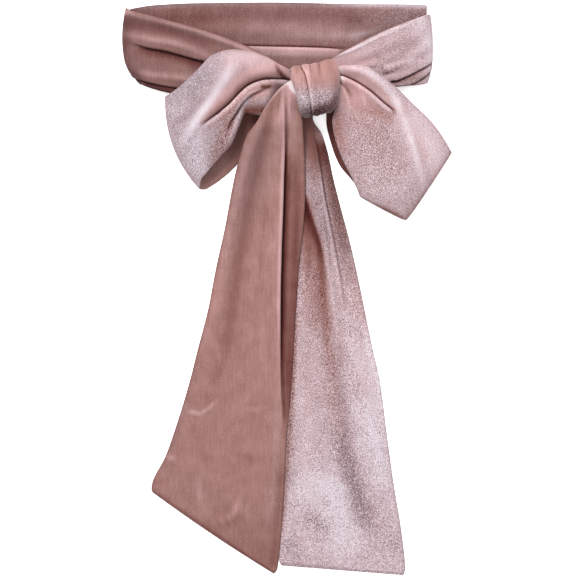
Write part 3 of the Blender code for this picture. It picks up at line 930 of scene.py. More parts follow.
LOOP_LEFT_BRUSHES = [
    Brush([(-12, 262, 0.9), (-30, 259, 1), (-44, 254, 1), (-58, 247, 1), (-71, 233, 1),
           (-86, 217, 0.8), (-98, 205, 0.6)], 8, 8, 0.13, 0.7, -0.3),
    Brush([(-18, 251, 0.5), (-37, 248.5, 1), (-54, 238, 1), (-71, 221, 1), (-88, 208, 0.9),
           (-102, 198, 0.3)], 1.5, 6.5, -0.12, 0.3, -0.2),
    Brush([(-12.5, 264, 0.5), (-9.5, 259, 1), (-4, 253, 1), (1, 248.5, 0.8)],
          2.6, 2.6, -0.34, 0.8, 0),
    Brush([(-18, 275, 0.5), (-6, 265.5, 1), (0, 257, 1), (3, 251, 0.7)],
          3.4, 3, 0.12, 0.7, -0.4),
    Brush([(-20, 276, 0.6), (-44, 277, 1), (-66, 276, 0.8)], 14, 14, 0.11, 0.35, -0.3),
    Brush([(-20, 250, 1), (-50, 240, 1), (-70, 220, 0.6)], 34, 34, 0, 0.30, 0),
    Brush([(-66, 264, 0.5), (-76, 247, 1), (-88, 230, 1), (-100, 212, 1), (-112, 193, 0.8),
           (-120, 178, 0.2)], 6, 6, 0.21, -0.15, -0.4),
    Brush([(-94, 256, 0.5), (-106, 242, 1), (-118, 228, 0.5)], 7, 7, -0.06, -0.1, 0.2),
    Brush([(-118, 250, 0.6), (-134, 220, 1), (-128, 180, 1), (-114, 140, 0.6)], 22, 22, 0, 0, 0.12),
    Brush([(-90, 236, 0.3), (-108, 217, 1), (-126, 201, 1), (-139, 192, 0.4)],
          3.5, 3.5, -0.06, 0, 0),
    Brush([(-100, 212, 0.3), (-114, 196, 1), (-127, 176, 1)], 5, 5, 0.05, 0, 0),
    Brush([(-102, 198, 0.3), (-113, 180, 1), (-121, 160, 0.6)], 4, 4, -0.05, 0, 0),
    Brush([(-96, 264, 0.4), (-116, 246, 1), (-134, 228, 0.8)], 8, 8, -0.04, -0.1, 0),
    Brush([(-50, 212, 0.5), (-57, 197, 1), (-66, 178, 1), (-78, 158, 1), (-92, 141, 0.6)],
          4, 4, -0.12, 0.3, 0),
    Brush([(-86, 160, 0.6), (-78, 176, 1), (-72, 192, 1), (-64, 206, 0.6)],
          10, 8, -0.03, 0.40, 0.5),
    Brush([(-110, 170, 1), (-108, 150, 1), (-100, 140, 0.6)], 16, 14, 0.08, -0.1, 0.2),
    Brush([(-8, 235, 1), (-24, 235, 1), (-38, 231, 0.8)], 7, 6, 0.11, 0.8, -0.3),
    Brush([(-24, 213, 0.9), (-38, 212.5, 1), (-47, 212, 1)], 6, 6, -0.26, 0.8, -0.2),
    Brush([(-70, 196, 0.6), (-76, 180, 1), (-84, 164, 1), (-92, 150, 0.5)],
          7, 7, -0.06, 0.2, 0),
    Brush([(-30, 240.5, 1), (-21, 241, 1)], 1.6, 1.6, -0.40, 0.6, 0),
]

# %% [markdown]
# Along the loop the pile changes at the turn, from pale on the outer face to a warm inner
# face, which painted shade darkens deeper into the loop. The pile's tones are given by
# section for that reason.

# %% Sew the left loop
cloth_piece(
    "bow_loop_left",
    shape=Shape(LOOP_LEFT_SECTIONS, LOOP_LEFT_FOLDS, LOOP_LEFT_BOW, across=60, along=140),
    pile=[(8.5, Tones(0.72, 0.12, 0.35)), (9.5, Tones(0.70, 1.0, 0.0)),
          (12, Tones(0.655, 1.0, 0.0)), (14, Tones(0.45, 1.0, 0.0))],
    turn=9.0,
    work=(LOOP_LEFT_TUCKS, LOOP_LEFT_CREASES, LOOP_LEFT_BRUSHES),
)

# %% [markdown]
# The right loop comes down steeper, and its turn is folded to a point. A wide bow with its
# peak off the middle gives that outline: two nearly straight edges with a corner between.

# %% Turn the right loop
LOOP_RIGHT_SECTIONS = [
    Section(50, 262, 34, 45, 226, 22, 0, 0),
    Section(70, 266, 34, 57, 211, 20, 0, 3),
    Section(88, 266, 34, 54, 199, 19, 3, 5),
    Section(109, 256, 33, 56, 184, 18, 9, 7),
    Section(130, 240, 31, 61, 167, 17, 17, 7),
    Section(151, 220, 28, 68, 150, 15, 26, 6),
    Section(172, 200, 25, 77, 133, 13, 36, 4),
    Section(189, 177, 21, 84, 118, 11, 44, 2),
    Section(197, 163, 14, 88, 110, 7, 49, 0),
    Section(192, 164, 7, 91, 112, 3, 47, 0),
    Section(172, 187, REST, 79, 128, REST, 36, 0),
    Section(142, 215, 5, 62, 149, REST, 22, 0),
    Section(116, 236, 15, 52, 176, REST, 10, -3),
    Section(88, 247, 17.5, 47, 200, 5, 3, -2),
    Section(66, 250, 19, 47, 215, 11, 0, 0),
    Section(48, 250, 22, 42, 226, 17, 0, 0),
]
LOOP_RIGHT_FOLDS = [
    Fold(0.0, 5.2, 0.06, 0.10, 0.08, 8, 7, 2, 5, 0, 0),
    Fold(4.4, 8.6, 0.16, 0.34, 0.42, 9, 7, 0, 3, 0, 1),
]
LOOP_RIGHT_BOW = Bow(side=1, peak=0.7, corner=1.08)
report_run("right loop", LOOP_RIGHT_SECTIONS)

# %% [markdown]
# One deep tuck runs out from the knot and ends in a rounded nose. From there a soft ridge
# goes on down to the point of the loop, and small creases fan out below the knot.

# %% Crease and brush the right loop
LOOP_RIGHT_TUCKS = [
    Tuck([(56, 252.5, 0.8), (64, 251.5, 1), (79, 245.5, 1), (89, 239.5, 1), (99, 232.5, 1),
          (115, 218.5, 1), (121, 214, 0.9), (126, 211, 0.5), (131, 208.5, 0)],
         2.0, -3.8, 2.6, 8, 5, -0.56, 0.14),
]
LOOP_RIGHT_CREASES = [
    Crease([(66, 263, 0.5), (82, 261, 1), (97, 256, 1), (109, 247, 1), (121, 235, 1),
            (131, 224, 1), (134, 215, 0.4)], 5, 4, 1.0, 0.10, -0.3),
    Crease([(62, 247, 0.8), (67, 242, 1), (72, 236, 1), (76, 229, 0.4)],
           2.2, 2.2, -2.4, -0.18, 0.2),
    Crease([(67, 244, 0.6), (70, 234, 1), (73, 222, 1), (76, 210, 0.3)], 2, 2, 1.4, 0.08, 0),
    Crease([(86, 238, 0.4), (92, 226, 1), (96, 214, 0.3)], 3, 3, 1.4, 0.07, 0),
    Crease([(124, 226, 0.3), (134, 217, 1), (137, 207, 1), (146, 184, 1), (154, 160, 1),
            (162, 132, 1), (166, 116, 0.4)], 3.4, 5, 1.8, 0.10, 0),
    Crease([(150, 200, 0.2), (162, 168, 1), (172, 142, 0.3)], 6, 6, -1.0, -0.03, 0.2),
]
# Besides patches of pile, these strokes paint the shaded slope into the tuck salmon, a highlight
# beside the knot and shade along the lower edge.
LOOP_RIGHT_BRUSHES = [
    Brush([(66, 256, 0.8), (82, 249.5, 1), (102, 236.5, 1), (118, 222.5, 1), (128, 215, 0.7)],
          9, 1.5, 0.13, 0.9, -0.5),
    Brush([(70, 240, 1), (82, 226, 1), (88, 210, 0.4)], 22, 16, 0.0, 0.75, -0.4),
    Brush([(62, 262, 0.5), (63, 248, 1), (63, 234, 1), (62, 222, 0.4)], 5, 5, 0.20, 0.3, -0.2),
    Brush([(104, 214, 1), (122, 204, 1)], 8, 8, -0.04, 0.4, 0),
    Brush([(60, 210, 0.6), (60, 190, 1), (68, 168, 0.6)], 9, 9, -0.08, 0.6, 0),
    Brush([(92, 190, 0.8), (106, 170, 1), (114, 146, 1)], 26, 26, -0.01, 0.20, 0.45),
    Brush([(130, 120, 1), (110, 130, 1)], 20, 20, 0.04, -0.05, 0.1),
    Brush([(150, 200, 0.8), (166, 176, 1), (176, 150, 1)], 22, 22, 0.13, 0.0, -0.15),
    Brush([(75, 108, 0.8), (94, 101, 1), (112, 96, 1), (130, 89, 1), (140, 82, 0.6)],
          3.5, 3.5, -0.16, 0.3, 0),
]

# %% [markdown]
# Like the left loop, it is pale outside and warm inside, with painted shade deeper in, but a little
# pinker.

# %% Sew the right loop
cloth_piece(
    "bow_loop_right",
    shape=Shape(LOOP_RIGHT_SECTIONS, LOOP_RIGHT_FOLDS, LOOP_RIGHT_BOW, across=60, along=140),
    pile=[(7.5, Tones(0.76, 0.42, 0.4)), (8.5, Tones(0.50, 1.0, 0.0)),
          (15, Tones(0.38, 1.0, 0.0))],
    turn=8.0,
    work=(LOOP_RIGHT_TUCKS, LOOP_RIGHT_CREASES, LOOP_RIGHT_BRUSHES),
)

# %% [markdown]
# ## The tails
#
# Both tails leave the knot gathered and open out as they come down to the table. The left
# one lies over the right one and keeps one deep fold along its inner side. Its end is cut
# on a slant, so its last sections lean over, and a last short one blunts the turned corners.

# %% Lay the left tail
TAIL_LEFT_SECTIONS = [
    Section(7, 249, 35, 12, 245, 34, 0, 0),
    Section(-2, 244, 35, 11, 237, 34, 0, 0),
    Section(-11, 236, 33, 14, 227, 31, 0, 1),
    Section(-25, 218, 28, 17, 212, 25, 0, 2),
    Section(-36, 199, 24, 19, 194, 20, 0, 2),
    Section(-48, 183, 19, 20, 179, 15, 0, 1),
    Section(-55, 163, 14, 21, 160, 11, 0, 0),
    Section(-62, 138, 8.5, 22, 136, 7, 0, 0),
    Section(-67, 114, 5, 22, 112, 5.6, 0, 0),
    Section(-75, 71, REST, 19.5, 70, 4.4, 0, 0),
    Section(-85, 26, REST, 14.5, 24, ON_TAIL, 0, 0),
    Section(-95.2, -27, REST, 10.5, -32, ON_TAIL, 0, 0),
    Section(-107.2, -73, REST, 7.5, -84, ON_TAIL, 0, 0),
    Section(-116.2, -109, REST, 4.5, -130, ON_TAIL, 0, 0),
    Section(-128.2, -150, REST, -0.5, -182, ON_TAIL, 0, 0),
    Section(-145.2, -200, REST, -4, -254, ON_TAIL, 0, 0),
    Section(-163, -241, REST, -11.3, -337, REST, -1.5, 0),
    Section(-161.8, -244.8, REST, -15.5, -343, REST, -2, 0),
]
TAIL_LEFT_FOLDS = [
    Fold(1.0, 14.5, 0.60, 0.72, 0.90, 18, 8, 0, 2.5, 0, 0),
    Fold(1.0, 12.0, 0.20, 0.22, 0.24, 8, 14, 0, 2.2, 0, 0),
]
TAIL_LEFT_BOW = Bow(side=1, peak=0.5, corner=2.0)
report_run("left tail", TAIL_LEFT_SECTIONS)

# %% [markdown]
# The long tuck runs most of the length of the tail, and painted shade runs along it. Beside
# it the cloth lies smooth and warm, with a few faint marks where it was once folded small,
# and one painted highlight where it bends out of the knot. A painted highlight also lightens
# the top and its upper edge, and painted shade the cut end.

# %% Crease and brush the left tail
TAIL_LEFT_TUCKS = [
    Tuck([(-3, 238, 0), (-3, 222, 0.2), (-3, 206, 0.3), (-3, 190, 0.4), (-3.5, 166, 0.6),
          (-5, 141, 1), (-6.3, 94, 1), (-8, 46, 1), (-9.3, -14, 1), (-8.7, -74, 0.6),
          (-7.5, -122, 0.35), (-4.5, -160, 0.2), (-3, -182, 0)],
         2.0, -3.0, 3.4, 9, 14, -0.40, 0.20),
]
TAIL_LEFT_CREASES = [
    Crease([(-5, 210, 0.3), (-6, 166, 0.8), (-9, 105, 1), (-12, 46, 1), (-13, -14, 1),
            (-12.5, -98, 0.8), (-11, -170, 0.4), (-10, -240, 0)], 3, 5, 0.6, 0.04, 0),
    Crease([(-13, 228, 0.6), (-20, 207, 1), (-27, 178, 1), (-36, 142, 1), (-44, 106, 1),
            (-53, 58, 1), (-61, 10, 1), (-68, -38, 1), (-76, -86, 0.6), (-90, -134, 0.2)],
           7, 7, -1.6, -0.09, 0),
    Crease([(-22, 216, 0.3), (-38, 184, 1), (-50, 148, 1), (-62, 94, 1), (-73, 34, 1),
            (-86, -26, 1), (-100, -74, 0.5)], 7, 7, 1.2, 0.05, 0),
    Crease([(-30, 190, 0.2), (-44, 146, 1), (-58, 90, 1), (-70, 30, 0.4)], 3, 3, -0.6, -0.04, 0),
    Crease([(-20, 120, 0.2), (-28, 70, 1), (-32, 20, 1), (-34, -30, 0.2)], 3, 3, -0.6, -0.03, 0),
    Crease([(-8, 214, 0.5), (-14, 180, 1), (-18, 120, 1), (-20, 60, 1), (-22, 0, 0.6)],
           6, 6, 1.0, 0.02, 0),
    Crease([(-8, 236, 0.4), (-9, 220, 1), (-11, 200, 0.2)], 2, 2, -1.2, -0.08, 0),
    Crease([(4, 232, 0.4), (3, 214, 1), (4, 196, 0.2)], 2, 2, 1.0, 0.04, 0),
    Crease([(-122, -143, 0.6), (-114, -148, 1), (-104, -150, 1), (-95, -145, 1),
            (-86, -137, 0.5), (-78, -131, 0)], 1.6, 2.2, 0.7, 0.13, -0.1),
    Crease([(-106, -222, 0.2), (-105, -238, 1), (-104, -256, 0.6), (-100, -272, 0)],
           4, 4, 0.6, 0.06, -0.1),
    Crease([(-92, -273, 0.2), (-82, -279, 1), (-70, -276, 1), (-60, -261, 1), (-54, -244, 0.2)],
           2.4, 4, 0.7, 0.07, -0.1),
    Crease([(-88, -268, 0.3), (-76, -268, 1), (-66, -256, 0.4)], 3, 3, -0.5, -0.05, 0),
    Crease([(-98, -285, 0.5), (-74, -283, 1), (-52, -272, 0.4)], 3, 4, -0.5, -0.05, 0),
    Crease([(-145, -200, 0.6), (-138, -204, 1), (-130, -205, 0.3)], 1.6, 1.6, 0.4, 0.09, 0),
    Crease([(-88, -60, 0), (-80, -86, 1), (-72, -110, 0)], 5, 3, 0.5, 0.05, 0),
    Crease([(-54, -140, 0.3), (-40, -146, 1), (-24, -142, 0.4)], 1.8, 2.2, 0.4, 0.05, 0),
    Crease([(-58, -200, 0.3), (-44, -206, 1), (-30, -202, 0.3)], 2, 2.6, -0.4, -0.05, 0),
]
TAIL_LEFT_BRUSHES = [
    Brush([(0, 156, 0.3), (0, 130, 0.8), (-1.5, 94, 1), (-3, 46, 1), (-4.5, -14, 1),
           (-4.5, -74, 0.6), (-3.5, -120, 0.2), (-2, -150, 0)], 5, 5, -0.26, 0.2, 0),
    Brush([(10, 170, 0.2), (12, 110, 0.8), (9, 20, 1), (6, -40, 1), (3, -100, 1), (1, -150, 0.6)],
          6, 6, -0.19, 0.1, 0),
    Brush([(2, 238, 1), (-2, 222, 1), (-5, 205, 0.8), (-8, 180, 0.2)], 12, 12, 0.14, 0, 0),
    Brush([(8, 206, 0.6), (8, 186, 1), (8, 164, 0.8), (8, 148, 0)], 6, 6, 0.08, 0, 0),
    Brush([(-8, -190, 0.4), (-9, -230, 1), (-12, -280, 1), (-15, -330, 1)], 4, 6, -0.09, 0, 0),
    Brush([(3, 244, 0.5), (7, 239.5, 1), (10.5, 235.5, 1), (13, 231, 0.4)],
          3.6, 3.6, 0.46, -0.4, 0),
    Brush([(5, 247, 0.8), (-2, 243, 1), (-11.5, 234.5, 1), (-25, 217, 0.6), (-36, 198, 0.2)],
          1.6, 1.6, 0.22, -0.2, 0),
    Brush([(-36, 90, 0.4), (-38, 0, 1), (-40, -90, 1), (-44, -190, 1), (-60, -260, 0.6)],
          24, 24, 0.01, 0.22, 0),
    Brush([(-30, -14, 0.3), (-28, -80, 1), (-24, -140, 0.3)], 6, 6, 0.04, 0, 0),
    Brush([(-13, -130, 0.4), (-13, -180, 1), (-15, -240, 1), (-17, -290, 0.4)],
          5, 5, 0.03, -0.20, 0),
    Brush([(-104, -30, 0.4), (-120, -100, 1), (-138, -170, 1), (-152, -214, 0.5)],
          7, 7, -0.03, -0.25, 0),
    Brush([(-80, -290, 0.6), (-50, -306, 1), (-24, -322, 1)], 22, 22, -0.05, 0, 0),
    Brush([(-160, -245, 1), (-100, -286, 1), (-50, -320, 1), (-16, -342, 1)],
          2.4, 2.4, -0.16, -0.1, 0),
    Brush([(-34, 180, 0.6), (-50, 110, 1), (-70, 30, 0.3)], 26, 26, -0.03, -0.2, 0),
    Brush([(-30, 110, 0.3), (-36, 60, 1), (-40, 10, 0.6)], 4, 4, 0.03, 0, 0),
]

# %% [markdown]
# The tails are the longest stretches, so their grids have the most rows.

# %% Sew the left tail
cloth_piece(
    "tail_left",
    shape=Shape(TAIL_LEFT_SECTIONS, TAIL_LEFT_FOLDS, TAIL_LEFT_BOW, across=54, along=164),
    pile=[(0, Tones(0.65, 1.0, 0.04))],
    turn=NO_TURN,
    work=(TAIL_LEFT_TUCKS, TAIL_LEFT_CREASES, TAIL_LEFT_BRUSHES),
)

# %% [markdown]
# The right tail starts low, under the knot, and runs out under the left one. Two folds at
# its top flatten out a little past halfway down, and a wide, low one follows them.

# %% Lay the right tail
TAIL_RIGHT_SECTIONS = [
    Section(12, 222, 9, 38, 224, 10, 0, 0),
    Section(10, 202, 7, 31, 204, 8, 0, 0),
    Section(10, 183, 4, 42, 184, 6, 0, 1),
    Section(11, 160, 2, 49.5, 160, 4, 0, 1),
    Section(13, 134, REST, 55, 134, 2.5, 0, 1),
    Section(14.5, 95, REST, 65, 95, REST, 0, 0),
    Section(14.5, 60, REST, 74.5, 60, REST, 0, 0),
    Section(12, 30, REST, 82, 28, REST, 0, 0),
    Section(10.5, 2, REST, 88, 0, REST, 0, 0),
    Section(7.5, -60, REST, 101, -64, REST, 0, 0),
    Section(4, -110, REST, 112, -114, REST, 0, 0),
    Section(-1.7, -170, REST, 119.5, -172, REST, 0, 0),
    Section(-5.5, -235, REST, 129, -240, REST, 0, 0),
    Section(-8, -292, REST, 138, -296, REST, 0, 0),
    Section(-9.5, -327, REST, 142, -338, REST, 0, 0),
    Section(-7, -333, REST, 139.5, -344.5, REST, 0, 0),
]
TAIL_RIGHT_FOLDS = [
    Fold(0.6, 10.5, 0.48, 0.46, 0.60, 9, 6, 2, 5.0, 0, 2),
    Fold(1.0, 9.0, 0.84, 0.84, 0.86, 5, 7, 1, 2.4, 0, 0),
    Fold(7.0, 13.5, 0.30, 0.28, 0.32, 18, 16, 0, 2.0, 0, 0),
]
TAIL_RIGHT_BOW = Bow(side=1, peak=0.5, corner=2.0)
report_run("right tail", TAIL_RIGHT_SECTIONS)

# %% [markdown]
# The top is in the shade of the knot and the left tail, so painted shade makes it dark, and it
# is smooth. Further down the pile stands up: pale, silvery, full of glints, with a few darker
# patches that a hand has left. The left tail throws a painted shadow along its left edge,
# and a thin painted shade runs along the hem.

# %% Crease and brush the right tail
TAIL_RIGHT_TUCKS = [
    Tuck([(31, 184, 0), (34, 172, 0.4), (38, 148, 0.7), (43, 112, 1), (49, 82, 1),
          (55, 52, 0.9), (61, 22, 0.7), (66, -8, 0.4), (72, -38, 0)],
         1.6, -1.6, 1.6, 6, 6, -0.26, 0.05),
]
TAIL_RIGHT_CREASES = [
    Crease([(24, 148, 0.4), (29, 124, 0.8), (35, 100, 1), (41, 76, 1), (47, 46, 1), (52, 16, 1),
            (56, -14, 1), (61, -50, 0.7), (65, -74, 0.3)], 4, 4, 1.4, 0.02, 0),
    Crease([(38, 64, 0.5), (40, 40, 1), (42, 10, 1), (46, -20, 0.8), (50, -50, 0.3)],
           4, 4, -1.8, -0.11, 0.4),
    Crease([(47, -50, 0.3), (52, -86, 1), (57, -134, 1), (64, -170, 0.3)],
           8, 8, -1.2, -0.06, 0.2),
    Crease([(84, -60, 0.3), (94, -100, 1), (104, -150, 0.5)], 10, 10, 1.0, 0.05, 0),
]
TAIL_RIGHT_BRUSHES = [
    Brush([(24, 204, 1), (28, 180, 1), (33, 158, 0.9), (36, 138, 0.3)], 13, 13, -0.27, 0.6, -0.6),
    Brush([(28, 140, 0.6), (34, 110, 1), (40, 80, 1), (46, 50, 0.5)], 7, 7, -0.15, -0.1, 0.1),
    Brush([(46, 168, 1), (54, 126, 1), (62, 84, 0.9), (70, 42, 0.5), (76, 12, 0.2)],
          9, 9, -0.34, 0.25, -0.1),
    Brush([(21, 112, 0.8), (27, 91, 1), (33, 73, 1), (38, 57, 0.9), (41.5, 44, 0.7),
           (44, 28, 0.4), (47, 8, 0.2), (52, -24, 0.1), (56, -60, 0)], 2, 7, -0.38, 0.8, -0.8),
    Brush([(19, 98, 1), (22, 76, 1), (25, 54, 0.8), (26, 34, 0.4), (26, 10, 0)],
          9, 9, -0.26, 0.8, -0.7),
    Brush([(38, 28, 0.5), (40, 0, 1), (44, -30, 1), (48, -62, 0.4)], 9, 14, -0.08, 0.2, 0),
    Brush([(62, -70, 0.4), (64, -110, 1), (70, -150, 1), (74, -190, 0.4)], 8, 8, -0.08, 0, 0),
    Brush([(92, -40, 0.3), (102, -80, 1), (111, -120, 1), (117, -160, 0.4)],
          8, 8, 0.09, -0.2, 0),
    Brush([(72, -40, 0.4), (80, -75, 1), (86, -105, 0.4)], 7, 7, 0.06, -0.1, 0),
    Brush([(80, 24, 0.6), (84, -8, 1), (90, -40, 0.6)], 6, 6, -0.02, 0.2, 0),
    Brush([(24, 34, 0.8), (26, 0, 1), (28, -40, 0.6)], 16, 10, -0.09, 0.25, 0),
    Brush([(6, -150, 0.4), (4, -190, 1), (2, -230, 1), (0, -262, 0.3)], 7, 7, -0.08, 0.1, 0),
    Brush([(40, -10, 0.6), (46, -50, 1), (52, -90, 0.6)], 6, 6, -0.07, 0.1, 0),
    Brush([(30, -60, 0.5), (40, -100, 1), (50, -150, 0.5)], 22, 30, -0.02, 0.05, 0),
    Brush([(61, -170, 0.4), (70, -200, 0.9), (78, -230, 1), (88, -262, 1), (98, -284, 0.6),
           (108, -302, 0)], 13, 12, -0.19, 0.0, 0.2),
    Brush([(30, -276, 0.8), (42, -286, 1), (48, -296, 0.4)], 8, 8, -0.10, 0, 0.3),
    Brush([(2, -310, 1), (12, -320, 0.8)], 8, 8, -0.10, 0, 0.2),
    Brush([(112, -312, 0.4), (130, -306, 1)], 9, 9, -0.07, 0, 0.2),
    Brush([(20, -240, 0.6), (50, -240, 1), (70, -300, 0.8)], 22, 22, 0.09, -0.25, 0),
    Brush([(96, -140, 0.6), (106, -180, 1), (114, -230, 0.6)], 14, 14, 0.08, -0.3, 0),
    Brush([(12, -14, 0.3), (8, -110, 1), (0, -206, 1), (-5, -290, 0.7)], 2.4, 2.4, -0.14, 0.5, 0),
    Brush([(-6, -331, 1), (50, -336, 1), (90, -340, 1), (140, -344, 1)], 2.4, 2.4, -0.14, 0, 0),
    Brush([(70, -100, 0.4), (82, -160, 1), (92, -220, 0.4)], 7, 7, 0.04, -0.1, 0),
    Brush([(24, -130, 0.4), (22, -190, 1), (24, -240, 0.4)], 9, 9, 0.03, 0.1, 0),
]

# %% [markdown]
# The pile turns cooler towards the hem, so its tones are given at two places.

# %% Sew the right tail
cloth_piece(
    "tail_right",
    shape=Shape(TAIL_RIGHT_SECTIONS, TAIL_RIGHT_FOLDS, TAIL_RIGHT_BOW, across=54, along=164),
    pile=[(9, Tones(0.775, 0.44, 0.60)), (12, Tones(0.795, 0.30, 0.55))],
    turn=NO_TURN,
    work=(TAIL_RIGHT_TUCKS, TAIL_RIGHT_CREASES, TAIL_RIGHT_BRUSHES),
)

# %% [markdown]
# ## The knot
#
# The knot is a wrap of the same cloth, drawn tight across the gathers. It is a ring whose
# open ends curl in round the cloth that enters it, with pleats that run over the top. A
# torus would be too round: this ring is a little barrel, wider at the top than below. Its
# left side is drawn in, and its top edge sags where the cloth pulls it down.

# %% Measure the knot
KNOT_TOP_LEFT = np.array((-2.5, 263.5))
KNOT_TOP_RIGHT = np.array((64.5, 276.0))
KNOT_BOTTOM_LEFT = np.array((15.5, 203.0))
KNOT_BOTTOM_RIGHT = np.array((59.5, 214.0))
KNOT_MIDDLE_Z = 24.5
KNOT_HALF_DEPTH = 21.5
KNOT_AIR = 0.35
KNOT_LOWEST = WALL + KNOT_AIR
KNOT_SQUARENESS = 6.0
KNOT_DRAWN_IN = 4.4
KNOT_SAG = 3.4
KNOT_INSET = 1.0
KNOT_BARREL = 0.36
KNOT_OPEN_END = 0.97
KNOT_ROUND = 110
KNOT_ACROSS = 56
KNOT_FOOT = KNOT_BOTTOM_LEFT[1]
KNOT_HEIGHT = 72.0
KNOT_FACE_BLEND = 8.0
print("the knot is", KNOT_HEIGHT, "mm high and", 2 * KNOT_HALF_DEPTH, "mm deep")

# %% [markdown]
# Each pleat of the knot is a rib that starts at one place on the top edge and ends at
# another on the bottom edge, so that the ribs slant as the pull of the cloth does.

# %% Pleat the knot
Pleat = namedtuple("Pleat", "top bottom width height")
KNOT_PLEATS = [
    Pleat(-0.72, -0.70, 0.20, 1.8),
    Pleat(-0.28, -0.06, 0.13, 1.8),
    Pleat(0.04, 0.20, 0.10, 1.2),
    Pleat(0.52, 0.62, 0.24, 1.8),
]


def knot_points(across, turn):
    """Places points of the wrap: across from -1 to 1, turn round the gathers from 0 to 1."""
    angle = turn * 2 * np.pi
    barrel = (1 - np.abs(across) ** KNOT_SQUARENESS) ** KNOT_BARREL
    up, out = np.cos(angle) * barrel, np.sin(angle) * barrel
    share, high = (across + 1) / 2, (1 + up) / 2
    pleats = np.zeros_like(across)
    for pleat in KNOT_PLEATS:
        centre = pleat.bottom + (pleat.top - pleat.bottom) * high
        pleats = pleats + pleat.height * fade(across - centre, pleat.width)
    left = KNOT_BOTTOM_LEFT + (KNOT_TOP_LEFT - KNOT_BOTTOM_LEFT) * high[..., None]
    left[..., 0] += KNOT_DRAWN_IN * arch(high)
    right = KNOT_BOTTOM_RIGHT + (KNOT_TOP_RIGHT - KNOT_BOTTOM_RIGHT) * high[..., None]
    plan = left + (right - left) * share[..., None]
    plan[..., 1] -= KNOT_SAG * arch(share) * high
    reach = pleats - KNOT_INSET
    y = plan[..., 1] + up * reach
    z = np.maximum(KNOT_MIDDLE_Z + out * (KNOT_HALF_DEPTH + reach), KNOT_LOWEST)
    return np.stack([plan[..., 0], y, z], axis=-1)


# %% [markdown]
# The pile on the knot is smooth and salmon at its top, silvery and sparkling lower down,
# and darkened at its foot by painted shade. Those changes are given by height, from 0 at
# the knot's foot to 1 at its top. Two tucks and a few creases, with their painted shade and
# highlights, are pressed in only where the wrap faces up, because nobody sees the rest.


# %% Brush the knot
KNOT_NAP = 0.70
SILVER_FULL = 0.30
SILVER_BLEND = 0.35
SILVER_NAP = 0.05
SILVER_COOLNESS = 0.70
FOOT_SHADE_FULL = 0.06
FOOT_SHADE_BLEND = 0.22
FOOT_SHADE = 0.30


def knot_tones(height):
    """Salmon where the wrap faces up, silvery and sparkling lower down, painted shade at the foot."""
    silver = 1.0 - smooth_step((height - SILVER_FULL) / SILVER_BLEND)
    # Painted shade at the foot of the knot.
    foot_shade = 1.0 - smooth_step((height - FOOT_SHADE_FULL) / FOOT_SHADE_BLEND)
    nap = KNOT_NAP + SILVER_NAP * silver - FOOT_SHADE * foot_shade
    return Tones(nap, 1.0 - SILVER_COOLNESS * silver, silver)


KNOT_TUCKS = [
    Tuck([(16.5, 270, 0.7), (19.5, 262, 1), (23.5, 255.6, 1), (26.4, 243.6, 1), (28.8, 231.6, 1),
          (30.2, 219.6, 1), (31, 207.6, 0.8)], 1.5, 1.0, -1.4, 4, 4, -0.36, 0.14),
    Tuck([(28, 273, 0.8), (29, 264, 0.8), (30, 255, 0)], 1.2, 0.6, -0.8, 3, 3, -0.22, 0.04),
]
KNOT_CREASES = [
    Crease([(38, 275, 0.8), (38.5, 264, 1), (40, 250, 0)], 2, 2, -0.8, -0.16, 0),
    Crease([(10, 270, 0.8), (11, 262, 1), (14, 246, 0)], 2, 2, -0.5, -0.09, 0),
    Crease([(50, 277, 0.8), (51, 264, 1), (52, 252, 0)], 3, 3, -0.5, -0.06, 0),
    Crease([(23, 270, 0.8), (25, 260, 1), (26, 250, 0)], 2, 2, 0.4, 0.06, 0),
    Crease([(7, 262, 0.6), (10, 250, 1), (14, 236, 0.4)], 4, 4, 0.6, 0.05, 0),
    Crease([(62, 268, 0.6), (62, 250, 1), (61.5, 234, 1), (60, 222, 0.3)],
           3, 3, 0.3, 0.16, -0.1),
    Crease([(63, 232, 0.5), (58, 224, 1), (49, 217, 1), (38, 212, 1), (34, 209, 0.8)],
           6, 7, 0, -0.26, 0.4),
]
print("strokes on the knot:", len(KNOT_TUCKS) + len(KNOT_CREASES))

# %% [markdown]
# The grid's first and last rows meet, so they are merged before the wall gets its
# thickness. The tones go onto the mesh before that, while each point still has its own.
# The wall grows outwards, because the drawn ring lies on the gathers.


# %% Make the knot
MERGE_DISTANCE = 0.01 * MM


def make_knot():
    """Rolls a grid into the wrap, pleats its upper side and closes its seam."""
    turn, across = np.meshgrid(
        np.linspace(0.0, 1.0, KNOT_ROUND + 1),
        np.linspace(-KNOT_OPEN_END, KNOT_OPEN_END, KNOT_ACROSS + 1),
        indexing="ij",
    )
    points = knot_points(across, turn)
    tones = knot_tones((points[..., 1] - KNOT_FOOT) / KNOT_HEIGHT)
    front = smooth_step((points[..., 2] - KNOT_MIDDLE_Z) / KNOT_FACE_BLEND)
    press_creases(points, tones, KNOT_CREASES, front)
    press_tucks(points, tones, KNOT_TUCKS, front)
    bm = grid_on(points)
    mesh = bpy.data.meshes.new("knot_velvet")
    bm.to_mesh(mesh)
    store_tones(mesh, tones)
    bm.clear()
    bm.from_mesh(mesh)
    bmesh.ops.remove_doubles(bm, verts=bm.verts[:], dist=MERGE_DISTANCE)
    bmesh.ops.recalc_face_normals(bm, faces=bm.faces[:])
    bm.to_mesh(mesh)
    bm.free()
    return sew_shell("knot_velvet", mesh, velvet_cloth, grow=1.0)


knot = make_knot()
finish_piece(knot, "knot")
print("knot points:", len(knot.data.vertices))

# %% [markdown]
# ## Floor
#
# The sash lies on plain white paper. A big single face is enough, and it belongs to the
# stage, not to the sash. The paper glows a little, as on a lit table, so that it stays
# white and the shadows on it stay faint.

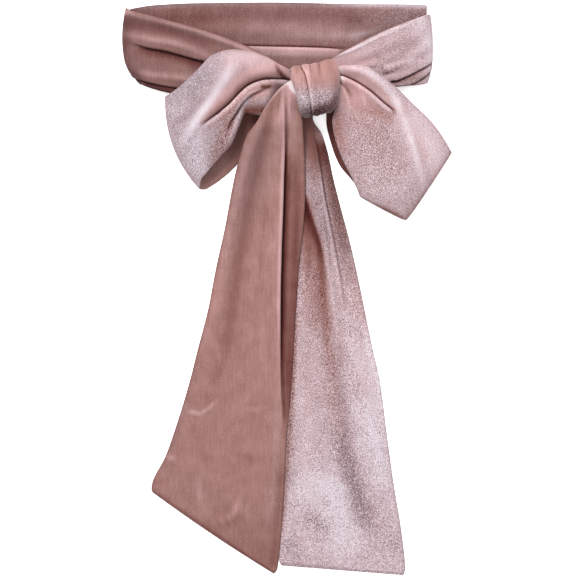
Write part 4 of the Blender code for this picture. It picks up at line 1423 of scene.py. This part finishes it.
# %% Lay the paper
FLOOR_SIZE = 6.0
WHITE = (1.0, 1.0, 1.0, 1.0)
PAPER_FINISH = {
    "Base Color": (0.93, 0.93, 0.93, 1.0),
    "Roughness": 0.9,
    "Emission Color": WHITE,
    "Emission Strength": 0.45,
}

bm = bmesh.new()
bmesh.ops.create_grid(bm, x_segments=1, y_segments=1, size=FLOOR_SIZE / 2)
floor_mesh = bpy.data.meshes.new("floor")
bm.to_mesh(floor_mesh)
bm.free()
floor = bpy.data.objects.new("floor", floor_mesh)
bpy.context.scene.collection.objects.link(floor)
paper = bpy.data.materials.new("white_paper")
paper.use_nodes = True
paper_shader = paper.node_tree.nodes["Principled BSDF"]
for label, value in PAPER_FINISH.items():
    paper_shader.inputs[label].default_value = value
floor_mesh.materials.append(paper)
print("paper in m:", FLOOR_SIZE)

# %% [markdown]
# ## Light
#
# The sash was photographed from above in soft daylight. A wide light over its top edge
# shades the lower side of every fold, and a bright sky fills the rest. A small hard lamp
# would show the folds better, but it would draw shadows that the cloth never had.

# %% Light the sash
WINDOW_PLACE = (-1.6, 4.2, 3.9)
WINDOW_SIZE = 2.6
WINDOW_POWER = 560.0
SASH_MIDDLE = (0.0, 0.0, 0.0)
SKY_STRENGTH = 1.2


def area_light(name, place, aim, size, power):
    """A square soft light at one place that faces another."""
    data = bpy.data.lights.new(name, "AREA")
    data.size = size
    data.energy = power
    lamp = bpy.data.objects.new(name, data)
    lamp.location = place
    heading = np.array(aim) - np.array(place)
    flat = math.hypot(heading[0], heading[1])
    lamp.rotation_euler = (
        math.atan2(flat, -heading[2]),
        0.0,
        math.atan2(heading[1], heading[0]) - math.pi / 2,
    )
    bpy.context.scene.collection.objects.link(lamp)


area_light("window", WINDOW_PLACE, SASH_MIDDLE, WINDOW_SIZE, WINDOW_POWER)
sky = bpy.data.worlds.new("sky")
sky.use_nodes = True
sky.node_tree.nodes["Background"].inputs["Color"].default_value = WHITE
sky.node_tree.nodes["Background"].inputs["Strength"].default_value = SKY_STRENGTH
bpy.context.scene.world = sky
bpy.context.scene.view_settings.view_transform = "Standard"
